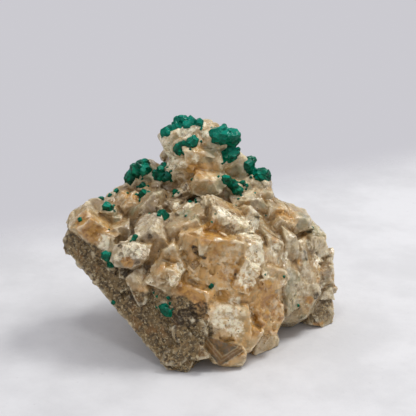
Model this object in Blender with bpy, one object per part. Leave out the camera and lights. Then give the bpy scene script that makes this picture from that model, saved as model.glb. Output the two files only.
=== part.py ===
# Dioptase on calcite: a broken lump of vein rock, built up of calcite cleavage blocks,
# with clusters of emerald green dioptase crystals grown on its top, shoulders and back.
#
# The frame is the specimen's own: +Z up, +X to the right and +Y to the back for someone
# who faces its best side, origin in the middle of its bounding box, on the surface that
# it rests on. Tables and dimensions are in millimetres, the finished meshes in metres.

import math
import random

import bmesh
import bpy
from mathutils import Euler, Matrix, Vector
from mathutils.bvhtree import BVHTree

MM = 0.001

# Driving dimensions
SEAT_GAP = 0.3  # between the rock and the roots of the crystals
BASE_LEVEL = 0.0  # the rock is broken off flat here
CALCITE_LEAN = math.tan(math.radians(14))  # how far a cleavage block leans sideways from square
FORWARD_LEAN = CALCITE_LEAN / 2  # and how far it leans forward
MASS_JITTER = (0.92, 1.06)  # where the corners of a large mass lie, in its radii
CHIPPED_CORNERS = 0.65  # share of a block's corners that are broken off
CHIP_SHARE = (0.12, 0.42)  # how much of a block's half size a broken corner takes
CHIP_REACH = 12.0  # blocks longer than this lose no more than a block of this size does
CHIP_FACING = (0.5, 1.5)  # parts of X, Y and Z in the direction that a broken corner faces
TERMINATION_TILT = math.radians(51)  # a dioptase end face's normal, from the crystal's axis
CRYSTAL_SIZES = (0.75, 1.15)  # of a crystal's radius, in its cluster's
CRYSTAL_LENGTHS = (2.5, 3.3)  # of a crystal, in its radii
CRYSTAL_SPREAD = 0.45  # how far neighbouring crystals lean apart
LONE_SPREAD = 0.18  # how far a crystal that grows alone leans
ROOT_DEPTH = 0.45  # share of a crystal's length that lies below the place it grows from
WIDEST_GAP = 1.4  # between neighbouring crystals, in crystal radii
DROP_REACH = 8.0  # how far out the search for a crystal's place on the rock starts
GROUND_CUTTER = 120.0  # side of the solid that trims the base
ON_THE_CUT = 1e-7  # metres from a cutting plane within which a corner counts as on it

CALCITE_COLOUR = (0.60, 0.47, 0.31, 1.0)
DIOPTASE_COLOUR = (0.0, 0.16, 0.10, 1.0)

# Large broken masses that carry the blocks: name, centre, radii, and roll about Y, pitch
# about X and yaw about Z in degrees
MASSES = [
    ("heart", (6, 1, 20), (20, 20.5, 20), (0, 0, 10)),
    ("front_foot", (3, -9, 9), (15, 14, 11), (0, 0, 0)),
    ("left_flank", (-9, -7, 19), (12, 12.5, 13), (0, 0, 0)),
    ("right_mass", (23, 9, 13.5), (14.5, 15, 16.5), (0, 0, -20)),
    ("left_ledge", (-16, 5, 31), (19, 13, 7), (-18, 0, 10)),
    ("back_foot", (3, 15, 11), (19, 13, 13), (0, 0, 0)),
    ("shoulder", (12, 12, 33.5), (11.5, 11, 8), (0, 0, 0)),
    ("crown", (-1, 14, 46), (9.5, 8, 12.5), (0, 0, 15)),
]

# Cleavage blocks seen from the front: name, middle of the front face, size (width, depth,
# height), roll about Y, pitch about X and yaw about Z in degrees
BLOCKS = [
    ("underside_slab", (-19.1, -13.8, 18.8), (52, 22, 13), 39.5, -12, -24),
    ("left_tip_upper", (-35.5, -2, 34.5), (5, 9, 5.5), 10, 10, -20),
    ("left_tip_lower", (-35.4, -4, 29.5), (5.5, 12, 8), 5, 0, -15),
    ("orange_block", (-28.6, -8, 33.2), (11, 10, 7), 38, 12, 12),
    ("ledge_back_block", (-27, -2, 36.4), (10, 7, 4.5), 20, 16, -10),
    ("ledge_corner", (-30.5, 0, 37.4), (5, 5, 3.5), 15, 12, -10),
    ("ledge_slab_a", (-23.5, 3, 37.4), (9, 6, 4), -32, 18, 10),
    ("ledge_slab_b", (-20.5, 0, 37.4), (8, 6, 4), -38, 14, 0),
    ("ledge_slab_c", (-21, 7, 39.4), (8, 5, 3.5), -30, 16, 0),
    ("ledge_top", (-20, 9.5, 40.4), (5, 5, 3.5), -20, 12, 0),
    ("ledge_beam", (-16, -3, 36.6), (12, 10, 6), -40, 15, -8),
    ("ledge_shadow", (-17.5, -6, 30.6), (12, 9, 5), -8, 5, 5),
    ("ledge_face", (-26.5, -9.5, 30.5), (8, 10, 8), 10, -5, -20),
    ("pit_block", (-22.5, -7.5, 32), (6, 8, 7), -15, 0, 0),
    ("egg_block", (-19, -17, 30.5), (9.5, 6, 6.5), 4, 10, -8),
    ("egg_root", (-18.5, -13, 25.5), (9, 9, 7), 10, 0, -8),
    ("long_block", (-12, -14, 31.5), (8, 11, 12), -28, 6, 10),
    ("bright_beam", (-5, -12, 35.2), (12.5, 8, 5.5), -18, 12, 6),
    ("bright_small", (-1, -9, 38.6), (5.5, 6, 3.5), -12, 12, 0),
    ("grey_block", (-4.5, -4, 37.6), (7, 6, 3.5), -20, 12, 10),
    ("glint_block", (-7, 0, 38.2), (4, 5, 3), 20, 10, 0),
    ("valley_slab", (-10.5, 0, 38.6), (8, 7, 3.5), 16, 14, 10),
    ("valley_back", (-14.5, 5, 40.5), (7, 6, 4), -22, 10, 0),
    ("crown_foot_slab", (-4.5, 3, 40.2), (8, 6, 4), -38, 10, 8),
    ("crown_foot_round", (1.5, 2, 43.2), (9, 8, 7), 14, 10, -6),
    ("crown_hollow_back", (-7, 8, 42.5), (8, 7, 6), 8, 0, 0),
    ("left_shoulder_block", (-15.5, 8, 43.5), (8, 8, 6.5), -40, 6, 0),
    ("crown_left_a", (-8, 8, 45.5), (6, 7, 5), -30, 10, -10),
    ("crown_left_b", (-4, 7, 47), (6, 7, 5), -35, 10, 0),
    ("crown_front", (1, 6, 48.8), (10, 8, 9), 8, 4, 10),
    ("crown_white_ledge", (-4, 5.5, 50), (6, 6, 2.5), -25, 20, 0),
    ("crown_head", (-5.4, 9, 53.2), (10.5, 8, 9.5), -18, 6, -14),
    ("crown_upper_right", (3.2, 9, 54.2), (9.5, 8, 7.5), 6, 6, 12),
    ("crown_top", (-1.5, 11.5, 57), (10, 6, 3), -4, 6, 8),
    ("crown_side_block", (9.5, 10, 47.2), (8, 8, 8), 42, 4, 18),
    ("shoulder_grey", (10, 6, 41), (9, 7, 5), 10, 8, 6),
    ("shoulder_block", (14, 3, 38), (9, 7, 5), -8, 10, 10),
    ("shoulder_block_b", (17.2, 6, 38.9), (6, 8, 6), 20, 10, 15),
    ("shoulder_right", (19.5, 9, 38.4), (5, 8, 7), 30, 8, 22),
    ("ridge_slab", (6, -6, 38.8), (11, 7, 3.5), 22, 12, 10),
    ("bright_face", (8.5, -11, 36.4), (13, 8, 6), 30, 14, 10),
    ("ridge_flank", (14, -7, 35.4), (5.5, 7, 8), 48, 8, 25),
    ("orange_hollow", (3, -11, 34.6), (8, 8, 6), -6, 6, 0),
    ("heart_face", (6, -17, 31.5), (12, 11, 8), 10, 8, 4),
    ("heart_ribs", (-2.5, -15, 32.5), (6.5, 10, 9), -14, 4, -14),
    ("heart_left_face", (-7.5, -16, 29), (8, 9, 8), -32, 8, -10),
    ("white_face", (15, -15.5, 30), (7.5, 10, 8.5), 20, 6, 24),
    ("edge_block", (21, -8, 29), (6, 9, 6), 32, 8, 28),
    ("brown_recess", (3.5, -17.5, 25), (13, 9, 7), 4, -8, 0),
    ("white_slab", (13, -18, 25), (6, 9, 8), 36, 0, 18),
    ("facet_block", (20, -13.5, 21.5), (9, 10, 9), 28, 2, 32),
    ("tan_face", (20, -14, 11.5), (9.5, 12, 11), 6, -6, 34),
    ("blotch_block", (8, -21, 13.5), (12, 11, 9), 12, 2, 8),
    ("white_wedge", (12.5, -20.5, 8.5), (8.5, 10, 7), 30, -4, 22),
    ("bottom_rhomb", (7.5, -23.5, 4.5), (11, 12, 8), 34, -8, 10),
    ("right_foot", (19.5, -11, 3), (9, 10, 8), 10, -6, 40),
    ("dark_front", (-2.5, -20.5, 17.5), (12, 11, 11), 14, -4, -10),
    ("dark_low", (-4, -23.5, 10), (12, 12, 11), 8, -10, -12),
    ("dark_toe", (-5.5, -25, 5), (9, 11, 6), 4, -8, -8),
    ("light_blotch", (-10, -19.5, 25.5), (8, 9, 6.5), 18, 4, -6),
    ("rib_block", (-17, -18.5, 22), (5, 9, 9), -44, 0, -20),
    ("saddle_block", (22.5, 4, 35), (6, 7, 4.5), 16, 14, 16),
    ("saddle_tan", (23.5, 1.5, 31.5), (6, 8, 6), 28, 12, 20),
    ("grey_flank", (28.5, 5, 31), (8, 9, 6), 26, 12, 24),
    ("apex_block", (26, -2.5, 27), (5.5, 9, 8), 34, 6, 30),
    ("curved_slab", (26.5, -5, 17), (6, 11, 15), -16, 2, 38),
    ("curved_slab_b", (29.5, -1, 18.5), (5, 10, 14), -14, 2, 34),
    ("right_face", (35.5, 6, 22), (7, 10, 10), 12, 4, 34),
    ("right_bump", (38.6, 9, 15), (4.5, 8, 9), 6, 0, 45),
    ("right_wall", (35.2, 4.5, 8.5), (9.5, 13, 16), 4, -2, 34),
    ("top_right_lump", (28.5, 8, 31.7), (5, 6, 3), 18, 10, 0),
    ("right_edge_lump", (34.2, 8.5, 26), (5, 7, 5), 38, 10, 20),
    ("right_toe", (35.5, 7, 2), (9, 9, 6), 0, 0, 30),
]

# Blocks that nobody sees from the front follow a rule: how many of them stand out of each
# mass, over which span of headings (0 is +X, 90 is the back), between which shares of its
# half height, and how large they are
SCATTER = [
    ("heart", 6, (30, 150), (-0.7, 0.7), (8, 13)),
    ("right_mass", 8, (-10, 120), (-0.7, 0.3), (8, 12)),
    ("left_ledge", 6, (70, 160), (-0.8, 0.1), (6, 9)),
    ("back_foot", 9, (10, 170), (-0.7, 0.8), (8, 12)),
    ("shoulder", 4, (50, 120), (-0.5, 0.2), (6, 8)),
    ("crown", 7, (20, 160), (-0.6, 0.5), (5, 8)),
]
SCATTER_SEED = 11
SUNK_SHARE = 0.75  # of a scattered block's half size that lies inside its mass
SCATTER_TILT = 45  # degrees that a scattered block is turned by at most, about each axis

# Dioptase clusters: name, places that the growth runs through, the way its crystals
# point, number of crystals, crystal radius, and how far they stray from the line
CLUSTERS = [
    ("dioptase_crown_crust", [(-9.1, 11.5, 55.5), (-8.3, 12, 58), (-5.8, 12.5, 59.8),
                              (-2.5, 12.5, 60.4), (-1, 12.5, 60.2)],
     (-0.25, -0.05, 1), 12, 1.75, 0.4),
    ("dioptase_crown_face", [(-6.5, 7.5, 54.3), (-1.6, 8, 56.2)], (-0.1, -1, 0.5), 6, 1.8, 0.6),
    ("dioptase_crown_right", [(4.8, 9, 57), (8.2, 10, 57), (10.8, 10.5, 53.5), (8, 8.5, 50)],
     (0.75, -0.45, 0.3), 14, 2.4, 0.9),
    ("dioptase_right_shoulder", [(13.5, 12, 48), (16, 12, 46), (18.5, 12, 46), (18, 11, 43.5)],
     (0.3, -0.35, 1), 10, 2.3, 0.5),
    ("dioptase_saddle", [(8, 6, 44.5), (10, 6, 43)], (-0.1, -1, 0.7), 4, 1.5, 0.5),
    ("dioptase_saddle_small", [(12, 7, 43.5)], (0.2, -1, 0.8), 1, 1.3, 0.0),
    ("dioptase_left_shoulder", [(-19.2, 10, 43), (-15.4, 10, 47.4)], (-0.4, -0.4, 0.9), 7, 2.0, 0.5),
    ("dioptase_crown_foot", [(-12, 8, 49), (-12, 7.5, 45.5), (-10, 7.5, 46)],
     (-0.45, -0.9, 0.5), 6, 1.8, 0.6),
    ("dioptase_ring", [(-16.5, 7, 43)], (-0.2, -0.7, 0.9), 1, 1.5, 0.0),
    ("dioptase_ledge", [(-15, 4, 39.5)], (-0.4, -0.6, 0.9), 1, 1.5, 0.0),
    ("dioptase_ledge_left", [(-25.5, -1, 39)], (-0.2, -0.5, 1), 2, 1.4, 0.6),
    ("dioptase_valley_prism", [(-10.5, -6, 36.5)], (0.0, -0.4, 1), 1, 2.0, 0.0),
    ("dioptase_centre", [(-0.5, 0, 40.5)], (0.0, -0.7, 0.9), 1, 1.4, 0.0),
    ("dioptase_hollow", [(-7, 5, 41.5)], (0.0, -0.8, 0.8), 1, 1.0, 0.0),
    ("dioptase_crevice", [(-18, -7, 32)], (0.1, -1, 0.4), 1, 1.3, 0.0),
    ("dioptase_left_face", [(-24.5, -10, 27.8), (-24.8, -10, 26)], (-0.4, -1, 0.3), 2, 1.5, 0.2),
    ("dioptase_low", [(-10, -21, 18)], (-0.1, -1, 0.4), 2, 1.5, 0.4),
    ("dioptase_crown_back", [(-7, 20, 52), (-2, 21, 54), (4, 20, 51)], (0, 1, 0.8), 7, 2.0, 0.5),
    ("dioptase_ledge_rim", [(-30, 11, 34), (-25, 15, 35), (-20, 17, 36.5)], (-0.2, 1, 0.4), 6, 1.7, 0.3),
    ("dioptase_back_high", [(8, 24, 40), (13, 23, 41)], (0.1, 1, 0.7), 5, 2.0, 0.6),
    ("dioptase_back_left", [(-14, 20, 36), (-9, 22, 37)], (-0.2, 1, 0.7), 5, 1.8, 0.6),
    ("dioptase_back_low", [(18, 28, 22), (14, 29, 20)], (0.2, 1, 0.4), 4, 1.7, 0.5),
]


def clear_scene():
    """Removes whatever the open file holds."""
    for old in list(bpy.data.objects):
        bpy.data.objects.remove(old)


def principled(name, colour, roughness, transmission=0.0, ior=1.5):
    """A plain material in the real thing's colour."""
    material = bpy.data.materials.new(name)
    material.use_nodes = True
    shader = material.node_tree.nodes["Principled BSDF"]
    shader.inputs["Base Color"].default_value = colour
    shader.inputs["Roughness"].default_value = roughness
    shader.inputs["Transmission Weight"].default_value = transmission
    shader.inputs["IOR"].default_value = ior
    material.diffuse_color = colour
    return material


def turned(roll, pitch, yaw):
    """Rotation that rolls about Y, then pitches about X, then yaws about Z."""
    return Euler(tuple(math.radians(a) for a in (pitch, roll, yaw)), "YXZ").to_matrix().to_4x4()


def moved(place):
    """Translation to a place that is given in millimetres."""
    return Matrix.Translation(Vector(place) * MM)


def cut_away(bm, point, normal):
    """Removes what lies beyond a plane from a convex solid and closes the flat cut."""
    everything = bm.verts[:] + bm.edges[:] + bm.faces[:]
    done = bmesh.ops.bisect_plane(
        bm, geom=everything, plane_co=point, plane_no=normal, clear_outer=True, dist=ON_THE_CUT
    )
    edges = [e for e in done["geom_cut"] if isinstance(e, bmesh.types.BMEdge)]
    if edges:
        bmesh.ops.edgenet_fill(bm, edges=edges)


def object_from(bm, name, collection, material):
    """Turns a bmesh in metres into a linked object with its normals facing out."""
    bmesh.ops.recalc_face_normals(bm, faces=bm.faces[:])
    mesh = bpy.data.meshes.new(name)
    bm.to_mesh(mesh)
    bm.free()
    mesh.materials.append(material)
    made = bpy.data.objects.new(name, mesh)
    collection.objects.link(made)
    return made


def hidden_collection(name):
    """A collection for solids that only cut or join."""
    group = bpy.data.collections.new(name)
    bpy.context.scene.collection.children.link(group)
    group.hide_render = True
    return group


def mass_solid(label, centre, radii, turn, grow):
    """A lump with flat broken sides: an icosphere whose corners are jittered."""
    rng = random.Random(label)
    bm = bmesh.new()
    bmesh.ops.create_icosphere(bm, subdivisions=2, radius=1.0)
    for vert in bm.verts:
        vert.co *= rng.uniform(*MASS_JITTER)
    size = Matrix.Diagonal([(r + grow) * MM for r in radii] + [1.0])
    bmesh.ops.transform(bm, matrix=moved(centre) @ turned(*turn) @ size, verts=bm.verts[:])
    return bm


def block_solid(label, front, size, turn, grow):
    """A calcite cleavage block: a leaning cube with some of its corners broken off."""
    rng = random.Random(label)
    half = Vector([s / 2 + grow for s in size]) * MM
    bm = bmesh.new()
    bmesh.ops.create_cube(bm, size=2.0)
    for corner in ((sx, sy, sz) for sx in (-1, 1) for sy in (-1, 1) for sz in (-1, 1)):
        share = rng.uniform(*CHIP_SHARE) * min(1, CHIP_REACH / max(size))
        facing = Vector([c * rng.uniform(*CHIP_FACING) for c in corner]).normalized()
        if rng.random() < CHIPPED_CORNERS:
            cut_away(bm, Vector(corner) * (1 - share), facing)
    lean = Matrix.Identity(4)
    lean[0][2] = CALCITE_LEAN * rng.choice((-1, 1))
    lean[1][2] = FORWARD_LEAN
    place = moved(front) @ turned(*turn) @ moved((0, size[1] / 2, 0))
    bmesh.ops.transform(bm, matrix=place @ lean @ Matrix.Diagonal([*half, 1.0]), verts=bm.verts[:])
    return bm


def scattered_blocks():
    """The blocks of the unseen sides, as rows of BLOCKS, each sunk into its mass."""
    rng = random.Random(SCATTER_SEED)
    masses = {name: (Vector(centre), Vector(radii), turn) for name, centre, radii, turn in MASSES}
    rows = []
    for name, count, (first, last), rises, (least, most) in SCATTER:
        centre, radii, turn = masses[name]
        for i in range(count):
            heading = math.radians(first + (last - first) * (i + rng.random()) / count - turn[2])
            rise = rng.uniform(*rises)
            level = math.sqrt(1 - rise * rise)
            size = [rng.uniform(least, most) for _ in range(3)]
            reach = radii - Vector([SUNK_SHARE * s / 2 for s in size])
            out = turned(*turn) @ Vector(
                (math.cos(heading) * level * reach.x, math.sin(heading) * level * reach.y, rise * reach.z)
            )
            tilt = [rng.uniform(-SCATTER_TILT, SCATTER_TILT) for _ in range(3)]
            front = centre + out - turned(*tilt) @ Vector((0, size[1] / 2, 0))
            rows.append((f"{name}_{i}", tuple(front), tuple(size), *tilt))
    return rows


def crystal_solid(seat, axis, radius, length, spin):
    """A dioptase crystal: a six-sided prism whose ends are three-faced, as rhombohedra are.

    The end faces stand over every other side of the prism, and the lower three are turned
    by 60 degrees against the upper three.
    """
    bm = bmesh.new()
    bmesh.ops.create_cone(
        bm, cap_ends=True, segments=6, radius1=radius * MM, radius2=radius * MM, depth=length * MM
    )
    for end, first in ((1, 0), (-1, 60)):
        for side in range(3):
            around = math.radians(first + 120 * side)
            normal = Vector((math.sin(TERMINATION_TILT) * math.cos(around),
                             math.sin(TERMINATION_TILT) * math.sin(around),
                             end * math.cos(TERMINATION_TILT)))
            cut_away(bm, Vector((0, 0, end * length / 2 * MM)), normal)
    rise = length * (0.5 - ROOT_DEPTH)
    aim = axis.to_track_quat("Z", "Y").to_matrix().to_4x4()
    place = Matrix.Translation(seat + axis * rise * MM) @ aim @ Matrix.Rotation(spin, 4, "Z")
    bmesh.ops.transform(bm, matrix=place, verts=bm.verts[:])
    return bm


def along(places, share):
    """The point at a share of the way through a list of places."""
    if len(places) == 1:
        return Vector(places[0])
    where = share * (len(places) - 1)
    step = min(int(where), len(places) - 2)
    return Vector(places[step]).lerp(Vector(places[step + 1]), where - step)


def dropped(rock_tree, point, facing):
    """Where a line down the growing direction through a point meets the rock."""
    start = point * MM + facing * DROP_REACH * MM
    return rock_tree.ray_cast(start, -facing)[0]


def seats_of(places, facing, count, radius, stray, rock_tree, rng):
    """Where a cluster's crystals grow from: on the rock, and halfway across any wide gap."""
    seats = []
    for i in range(count):
        share = i / (count - 1) if count > 1 else 0.5
        jitter = Vector([rng.uniform(-stray, stray) for _ in range(3)])
        seat = dropped(rock_tree, along(places, share) + jitter, facing)
        if seat is None:
            continue
        if seats and (seat - seats[-1]).length > WIDEST_GAP * radius * MM:
            seats.append(seat.lerp(seats[-1], 0.5))
        seats.append(seat)
    return seats


def cluster_solid(row, rock_tree, rock_cutter, home, material):
    """Crystals along a line, each seated on the rock, as one body that stays clear of it."""
    name, places, facing, count, radius, stray = row
    rng = random.Random(name)
    facing = Vector(facing).normalized()
    group = hidden_collection(f"{name}_crystals")
    for i, seat in enumerate(seats_of(places, facing, count, radius, stray, rock_tree, rng)):
        spread = CRYSTAL_SPREAD if count > 1 else LONE_SPREAD
        lean = Vector([rng.uniform(-1, 1) for _ in range(3)]) * spread
        axis = (facing + lean).normalized()
        size = radius * rng.uniform(*CRYSTAL_SIZES)
        length = size * rng.uniform(*CRYSTAL_LENGTHS)
        solid = crystal_solid(seat, axis, size, length, rng.uniform(0, math.pi))
        hide(object_from(solid, f"{name}_{i}", group, material))
    cluster = joined(name, group, home)
    boolean(cluster, "DIFFERENCE", rock_cutter)
    applied(cluster)
    keep_largest_body(cluster)
    return cluster


def keep_largest_body(target):
    """Leaves only the largest closed body of a mesh, by its number of corners."""
    bm = bmesh.new()
    bm.from_mesh(target.data)
    bm.verts.ensure_lookup_table()
    bodies = []
    seen = set()
    for start in bm.verts:
        if start.index in seen:
            continue
        body = [start]
        seen.add(start.index)
        for vert in body:
            for edge in vert.link_edges:
                other = edge.other_vert(vert)
                if other.index not in seen:
                    seen.add(other.index)
                    body.append(other)
        bodies.append(body)
    bodies.sort(key=len)
    if len(bodies) > 1:
        print(target.name, "drops bodies of", [len(body) for body in bodies[:-1]], "corners")
    bmesh.ops.delete(bm, geom=[v for body in bodies[:-1] for v in body], context="VERTS")
    bm.to_mesh(target.data)
    bm.free()


def hide(solid):
    """Marks a solid that only cuts or joins."""
    solid.hide_render = True
    solid.display_type = "WIRE"


def rock_collection(name, grow, material):
    """Every solid that the rock is made of, each face moved out by grow."""
    group = hidden_collection(name)
    for label, centre, radii, turn in MASSES:
        solid = mass_solid(label, centre, radii, turn, grow)
        hide(object_from(solid, f"{name}_{label}", group, material))
    for label, front, size, *turn in BLOCKS + scattered_blocks():
        solid = block_solid(label, front, size, turn, grow)
        hide(object_from(solid, f"{name}_{label}", group, material))
    return group


def boolean(target, operation, other):
    """Adds a Boolean with an object or a whole collection."""
    modifier = target.modifiers.new(operation.lower(), "BOOLEAN")
    modifier.operation = operation
    modifier.solver = "EXACT"
    if isinstance(other, bpy.types.Collection):
        modifier.operand_type = "COLLECTION"
        modifier.collection = other
    else:
        modifier.object = other


def applied(target):
    """Bakes an object's modifiers into its mesh."""
    graph = bpy.context.evaluated_depsgraph_get()
    baked = bpy.data.meshes.new_from_object(target.evaluated_get(graph))
    target.modifiers.clear()
    target.data = baked


def joined(name, group, home):
    """One solid out of all the solids in a collection."""
    one = bpy.data.objects.new(name, group.objects[0].data.copy())
    home.objects.link(one)
    if len(group.objects) > 1:
        others = hidden_collection(f"{name}_others")
        for solid in group.objects[1:]:
            others.objects.link(solid)
        boolean(one, "UNION", others)
        applied(one)
    return one


def ground_cutter(material, home):
    """A slab that takes away whatever would lie below the level the rock rests on."""
    bm = bmesh.new()
    bmesh.ops.create_cube(bm, size=GROUND_CUTTER * MM)
    bmesh.ops.translate(bm, vec=Vector((0, 0, BASE_LEVEL - GROUND_CUTTER / 2)) * MM, verts=bm.verts[:])
    slab = object_from(bm, "ground_cutter", home, material)
    hide(slab)
    return slab


def centre_on_base(solids):
    """Moves everything so that the origin is the middle of the bounding box's bottom."""
    corners = [v.co for solid in solids for v in solid.data.vertices]
    low = Vector([min(c[i] for c in corners) for i in range(3)])
    high = Vector([max(c[i] for c in corners) for i in range(3)])
    shift = Vector((-(low.x + high.x) / 2, -(low.y + high.y) / 2, -low.z))
    for solid in solids:
        solid.data.transform(Matrix.Translation(shift))
    print("size in mm", [round(v / MM, 2) for v in high - low])
    print("shift in mm", [round(v / MM, 2) for v in shift])


def main():
    clear_scene()
    calcite = principled("calcite", CALCITE_COLOUR, 0.55)
    dioptase = principled("dioptase", DIOPTASE_COLOUR, 0.12, transmission=0.6, ior=1.67)
    home = bpy.data.collections.new("dioptase_specimen")
    bpy.context.scene.collection.children.link(home)
    rock = joined("calcite_matrix", rock_collection("rock_solids", 0.0, calcite), home)
    cutters = hidden_collection("cutters")
    rock_cutter = joined("rock_cutter", rock_collection("swollen_rock", SEAT_GAP, calcite), cutters)
    hide(rock_cutter)
    boolean(rock, "DIFFERENCE", ground_cutter(calcite, cutters))
    applied(rock)
    keep_largest_body(rock)
    rock_tree = BVHTree.FromObject(rock, bpy.context.evaluated_depsgraph_get())
    solids = [rock]
    for row in CLUSTERS:
        solids.append(cluster_solid(row, rock_tree, rock_cutter, home, dioptase))
    centre_on_base(solids)
    triangles = {s.name: sum(len(p.vertices) - 2 for p in s.data.polygons) for s in solids}
    print("triangles", sum(triangles.values()), triangles)


main()
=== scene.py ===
# %% [markdown]
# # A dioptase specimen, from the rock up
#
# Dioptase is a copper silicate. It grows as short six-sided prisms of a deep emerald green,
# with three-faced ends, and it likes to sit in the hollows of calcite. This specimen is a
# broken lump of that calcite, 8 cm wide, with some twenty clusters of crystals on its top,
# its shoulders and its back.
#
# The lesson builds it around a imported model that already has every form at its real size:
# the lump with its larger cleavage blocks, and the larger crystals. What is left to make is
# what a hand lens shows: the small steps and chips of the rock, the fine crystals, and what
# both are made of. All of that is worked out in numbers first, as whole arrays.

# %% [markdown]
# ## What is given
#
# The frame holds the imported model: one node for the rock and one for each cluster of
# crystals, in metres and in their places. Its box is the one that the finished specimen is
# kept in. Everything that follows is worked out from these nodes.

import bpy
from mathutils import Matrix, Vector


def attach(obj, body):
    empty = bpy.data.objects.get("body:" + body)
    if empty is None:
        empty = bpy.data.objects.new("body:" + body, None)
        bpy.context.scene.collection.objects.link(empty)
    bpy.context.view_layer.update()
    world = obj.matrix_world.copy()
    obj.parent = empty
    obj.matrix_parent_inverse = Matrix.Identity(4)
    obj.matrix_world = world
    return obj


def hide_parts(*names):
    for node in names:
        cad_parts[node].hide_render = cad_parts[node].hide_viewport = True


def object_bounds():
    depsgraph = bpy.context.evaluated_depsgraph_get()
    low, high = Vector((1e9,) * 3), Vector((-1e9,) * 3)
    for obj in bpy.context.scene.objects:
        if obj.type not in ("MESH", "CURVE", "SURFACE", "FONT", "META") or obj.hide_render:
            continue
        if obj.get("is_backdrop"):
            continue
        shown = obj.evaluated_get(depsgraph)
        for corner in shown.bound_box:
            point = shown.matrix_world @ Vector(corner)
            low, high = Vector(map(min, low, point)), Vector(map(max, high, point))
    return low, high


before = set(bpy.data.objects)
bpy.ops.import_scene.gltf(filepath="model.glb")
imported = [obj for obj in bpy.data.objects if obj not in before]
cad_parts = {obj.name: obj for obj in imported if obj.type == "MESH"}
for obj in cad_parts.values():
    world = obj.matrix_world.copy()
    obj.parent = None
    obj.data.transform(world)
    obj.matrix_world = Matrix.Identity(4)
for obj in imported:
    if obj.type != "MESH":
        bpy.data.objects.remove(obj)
cad_low, cad_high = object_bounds()
print("CAD box in mm:", [round(1000 * v, 1) for v in [*cad_low, *cad_high]])

# %% What the lesson works with
import math

import bpy
import numpy as np
import openvdb
from mathutils import Matrix, Vector

MM = 0.001  # shapes are worked out in millimetres, and meshes are in metres
ROCK = "calcite_matrix"
clusters = sorted(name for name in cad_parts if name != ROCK)
print(len(clusters), "clusters of dioptase on", ROCK)


# %% [markdown]
# ## The camera
#
# A specimen is photographed from a little above, with a long lens, so that its outline
# stays true. A 100 mm lens a third of a metre away does that. It looks down by 20 degrees.

# %% Placing the camera
CAMERA_AIM = (1.12, -2.07, 38.7)  # mm
CAMERA_DISTANCE = 325.0  # mm
CAMERA_RISE = math.radians(20)
CAMERA_LENS = 100  # mm, on a sensor 36 mm wide


def aimed(thing, place, aim):
    """Puts a camera or light at place, in metres, so that its -Z axis runs to aim."""
    thing.location = place
    thing.rotation_mode = "QUATERNION"
    thing.rotation_quaternion = (Vector(aim) - Vector(place)).to_track_quat("-Z", "Y")


def make_camera():
    """Camera at aim + distance * (0, -cos rise, sin rise)."""
    lens = bpy.data.cameras.new("specimen_camera")
    lens.lens = CAMERA_LENS
    lens.clip_start = 0.01
    camera = bpy.data.objects.new("specimen_camera", lens)
    bpy.context.scene.collection.objects.link(camera)
    aim = Vector(CAMERA_AIM) * MM
    back = Vector((0, -math.cos(CAMERA_RISE), math.sin(CAMERA_RISE)))
    aimed(camera, aim + back * CAMERA_DISTANCE * MM, aim)
    bpy.context.scene.camera = camera
    return camera


camera = make_camera()
print("camera at", [round(v, 3) for v in camera.location])

# %% [markdown]
# ## Light
#
# Calcite shows its cleavage only where light comes from one side, and goes flat under a
# light all round. So one broad lamp stands above, to the right and a little behind. A faint
# one opens up the left side, a small one in front gives the glints, and the pale room does
# the rest.

# %% Lamps and the room's own light
ROOM_COLOUR = (0.617, 0.610, 0.651, 1.0)
ROOM_STRENGTH = 0.97
LAMPS = [
    # name, place in metres, side in metres, watts
    ("key_lamp", (0.21, 0.06, 0.43), 0.15, 1.2),
    ("left_lamp", (-0.34, -0.10, 0.34), 0.12, 0.1),
    ("glint_lamp", (-0.06, -0.16, 0.52), 0.07, 0.3),
]
LAMP_AIM = (0, 0, 0.03)  # m, the middle of the specimen


def make_lamp(name, place, side, watts):
    """A square lamp that looks at the middle of the specimen."""
    light = bpy.data.lights.new(name, "AREA")
    light.size = side
    light.energy = watts
    lamp = bpy.data.objects.new(name, light)
    bpy.context.scene.collection.objects.link(lamp)
    aimed(lamp, place, LAMP_AIM)


def make_room():
    """An even, pale world."""
    world = bpy.data.worlds.new("room")
    world.use_nodes = True
    background = world.node_tree.nodes["Background"]
    background.inputs["Color"].default_value = ROOM_COLOUR
    background.inputs["Strength"].default_value = ROOM_STRENGTH
    bpy.context.scene.world = world


for row in LAMPS:
    make_lamp(*row)
make_room()
bpy.context.scene.view_settings.view_transform = "Standard"
print("lamps:", [row[0] for row in LAMPS])

# %% [markdown]
# ## Building materials from nodes
#
# The materials further down have many layers, so short helpers keep them readable. Each
# adds a node or a few to a material and gives back their output.

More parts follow.
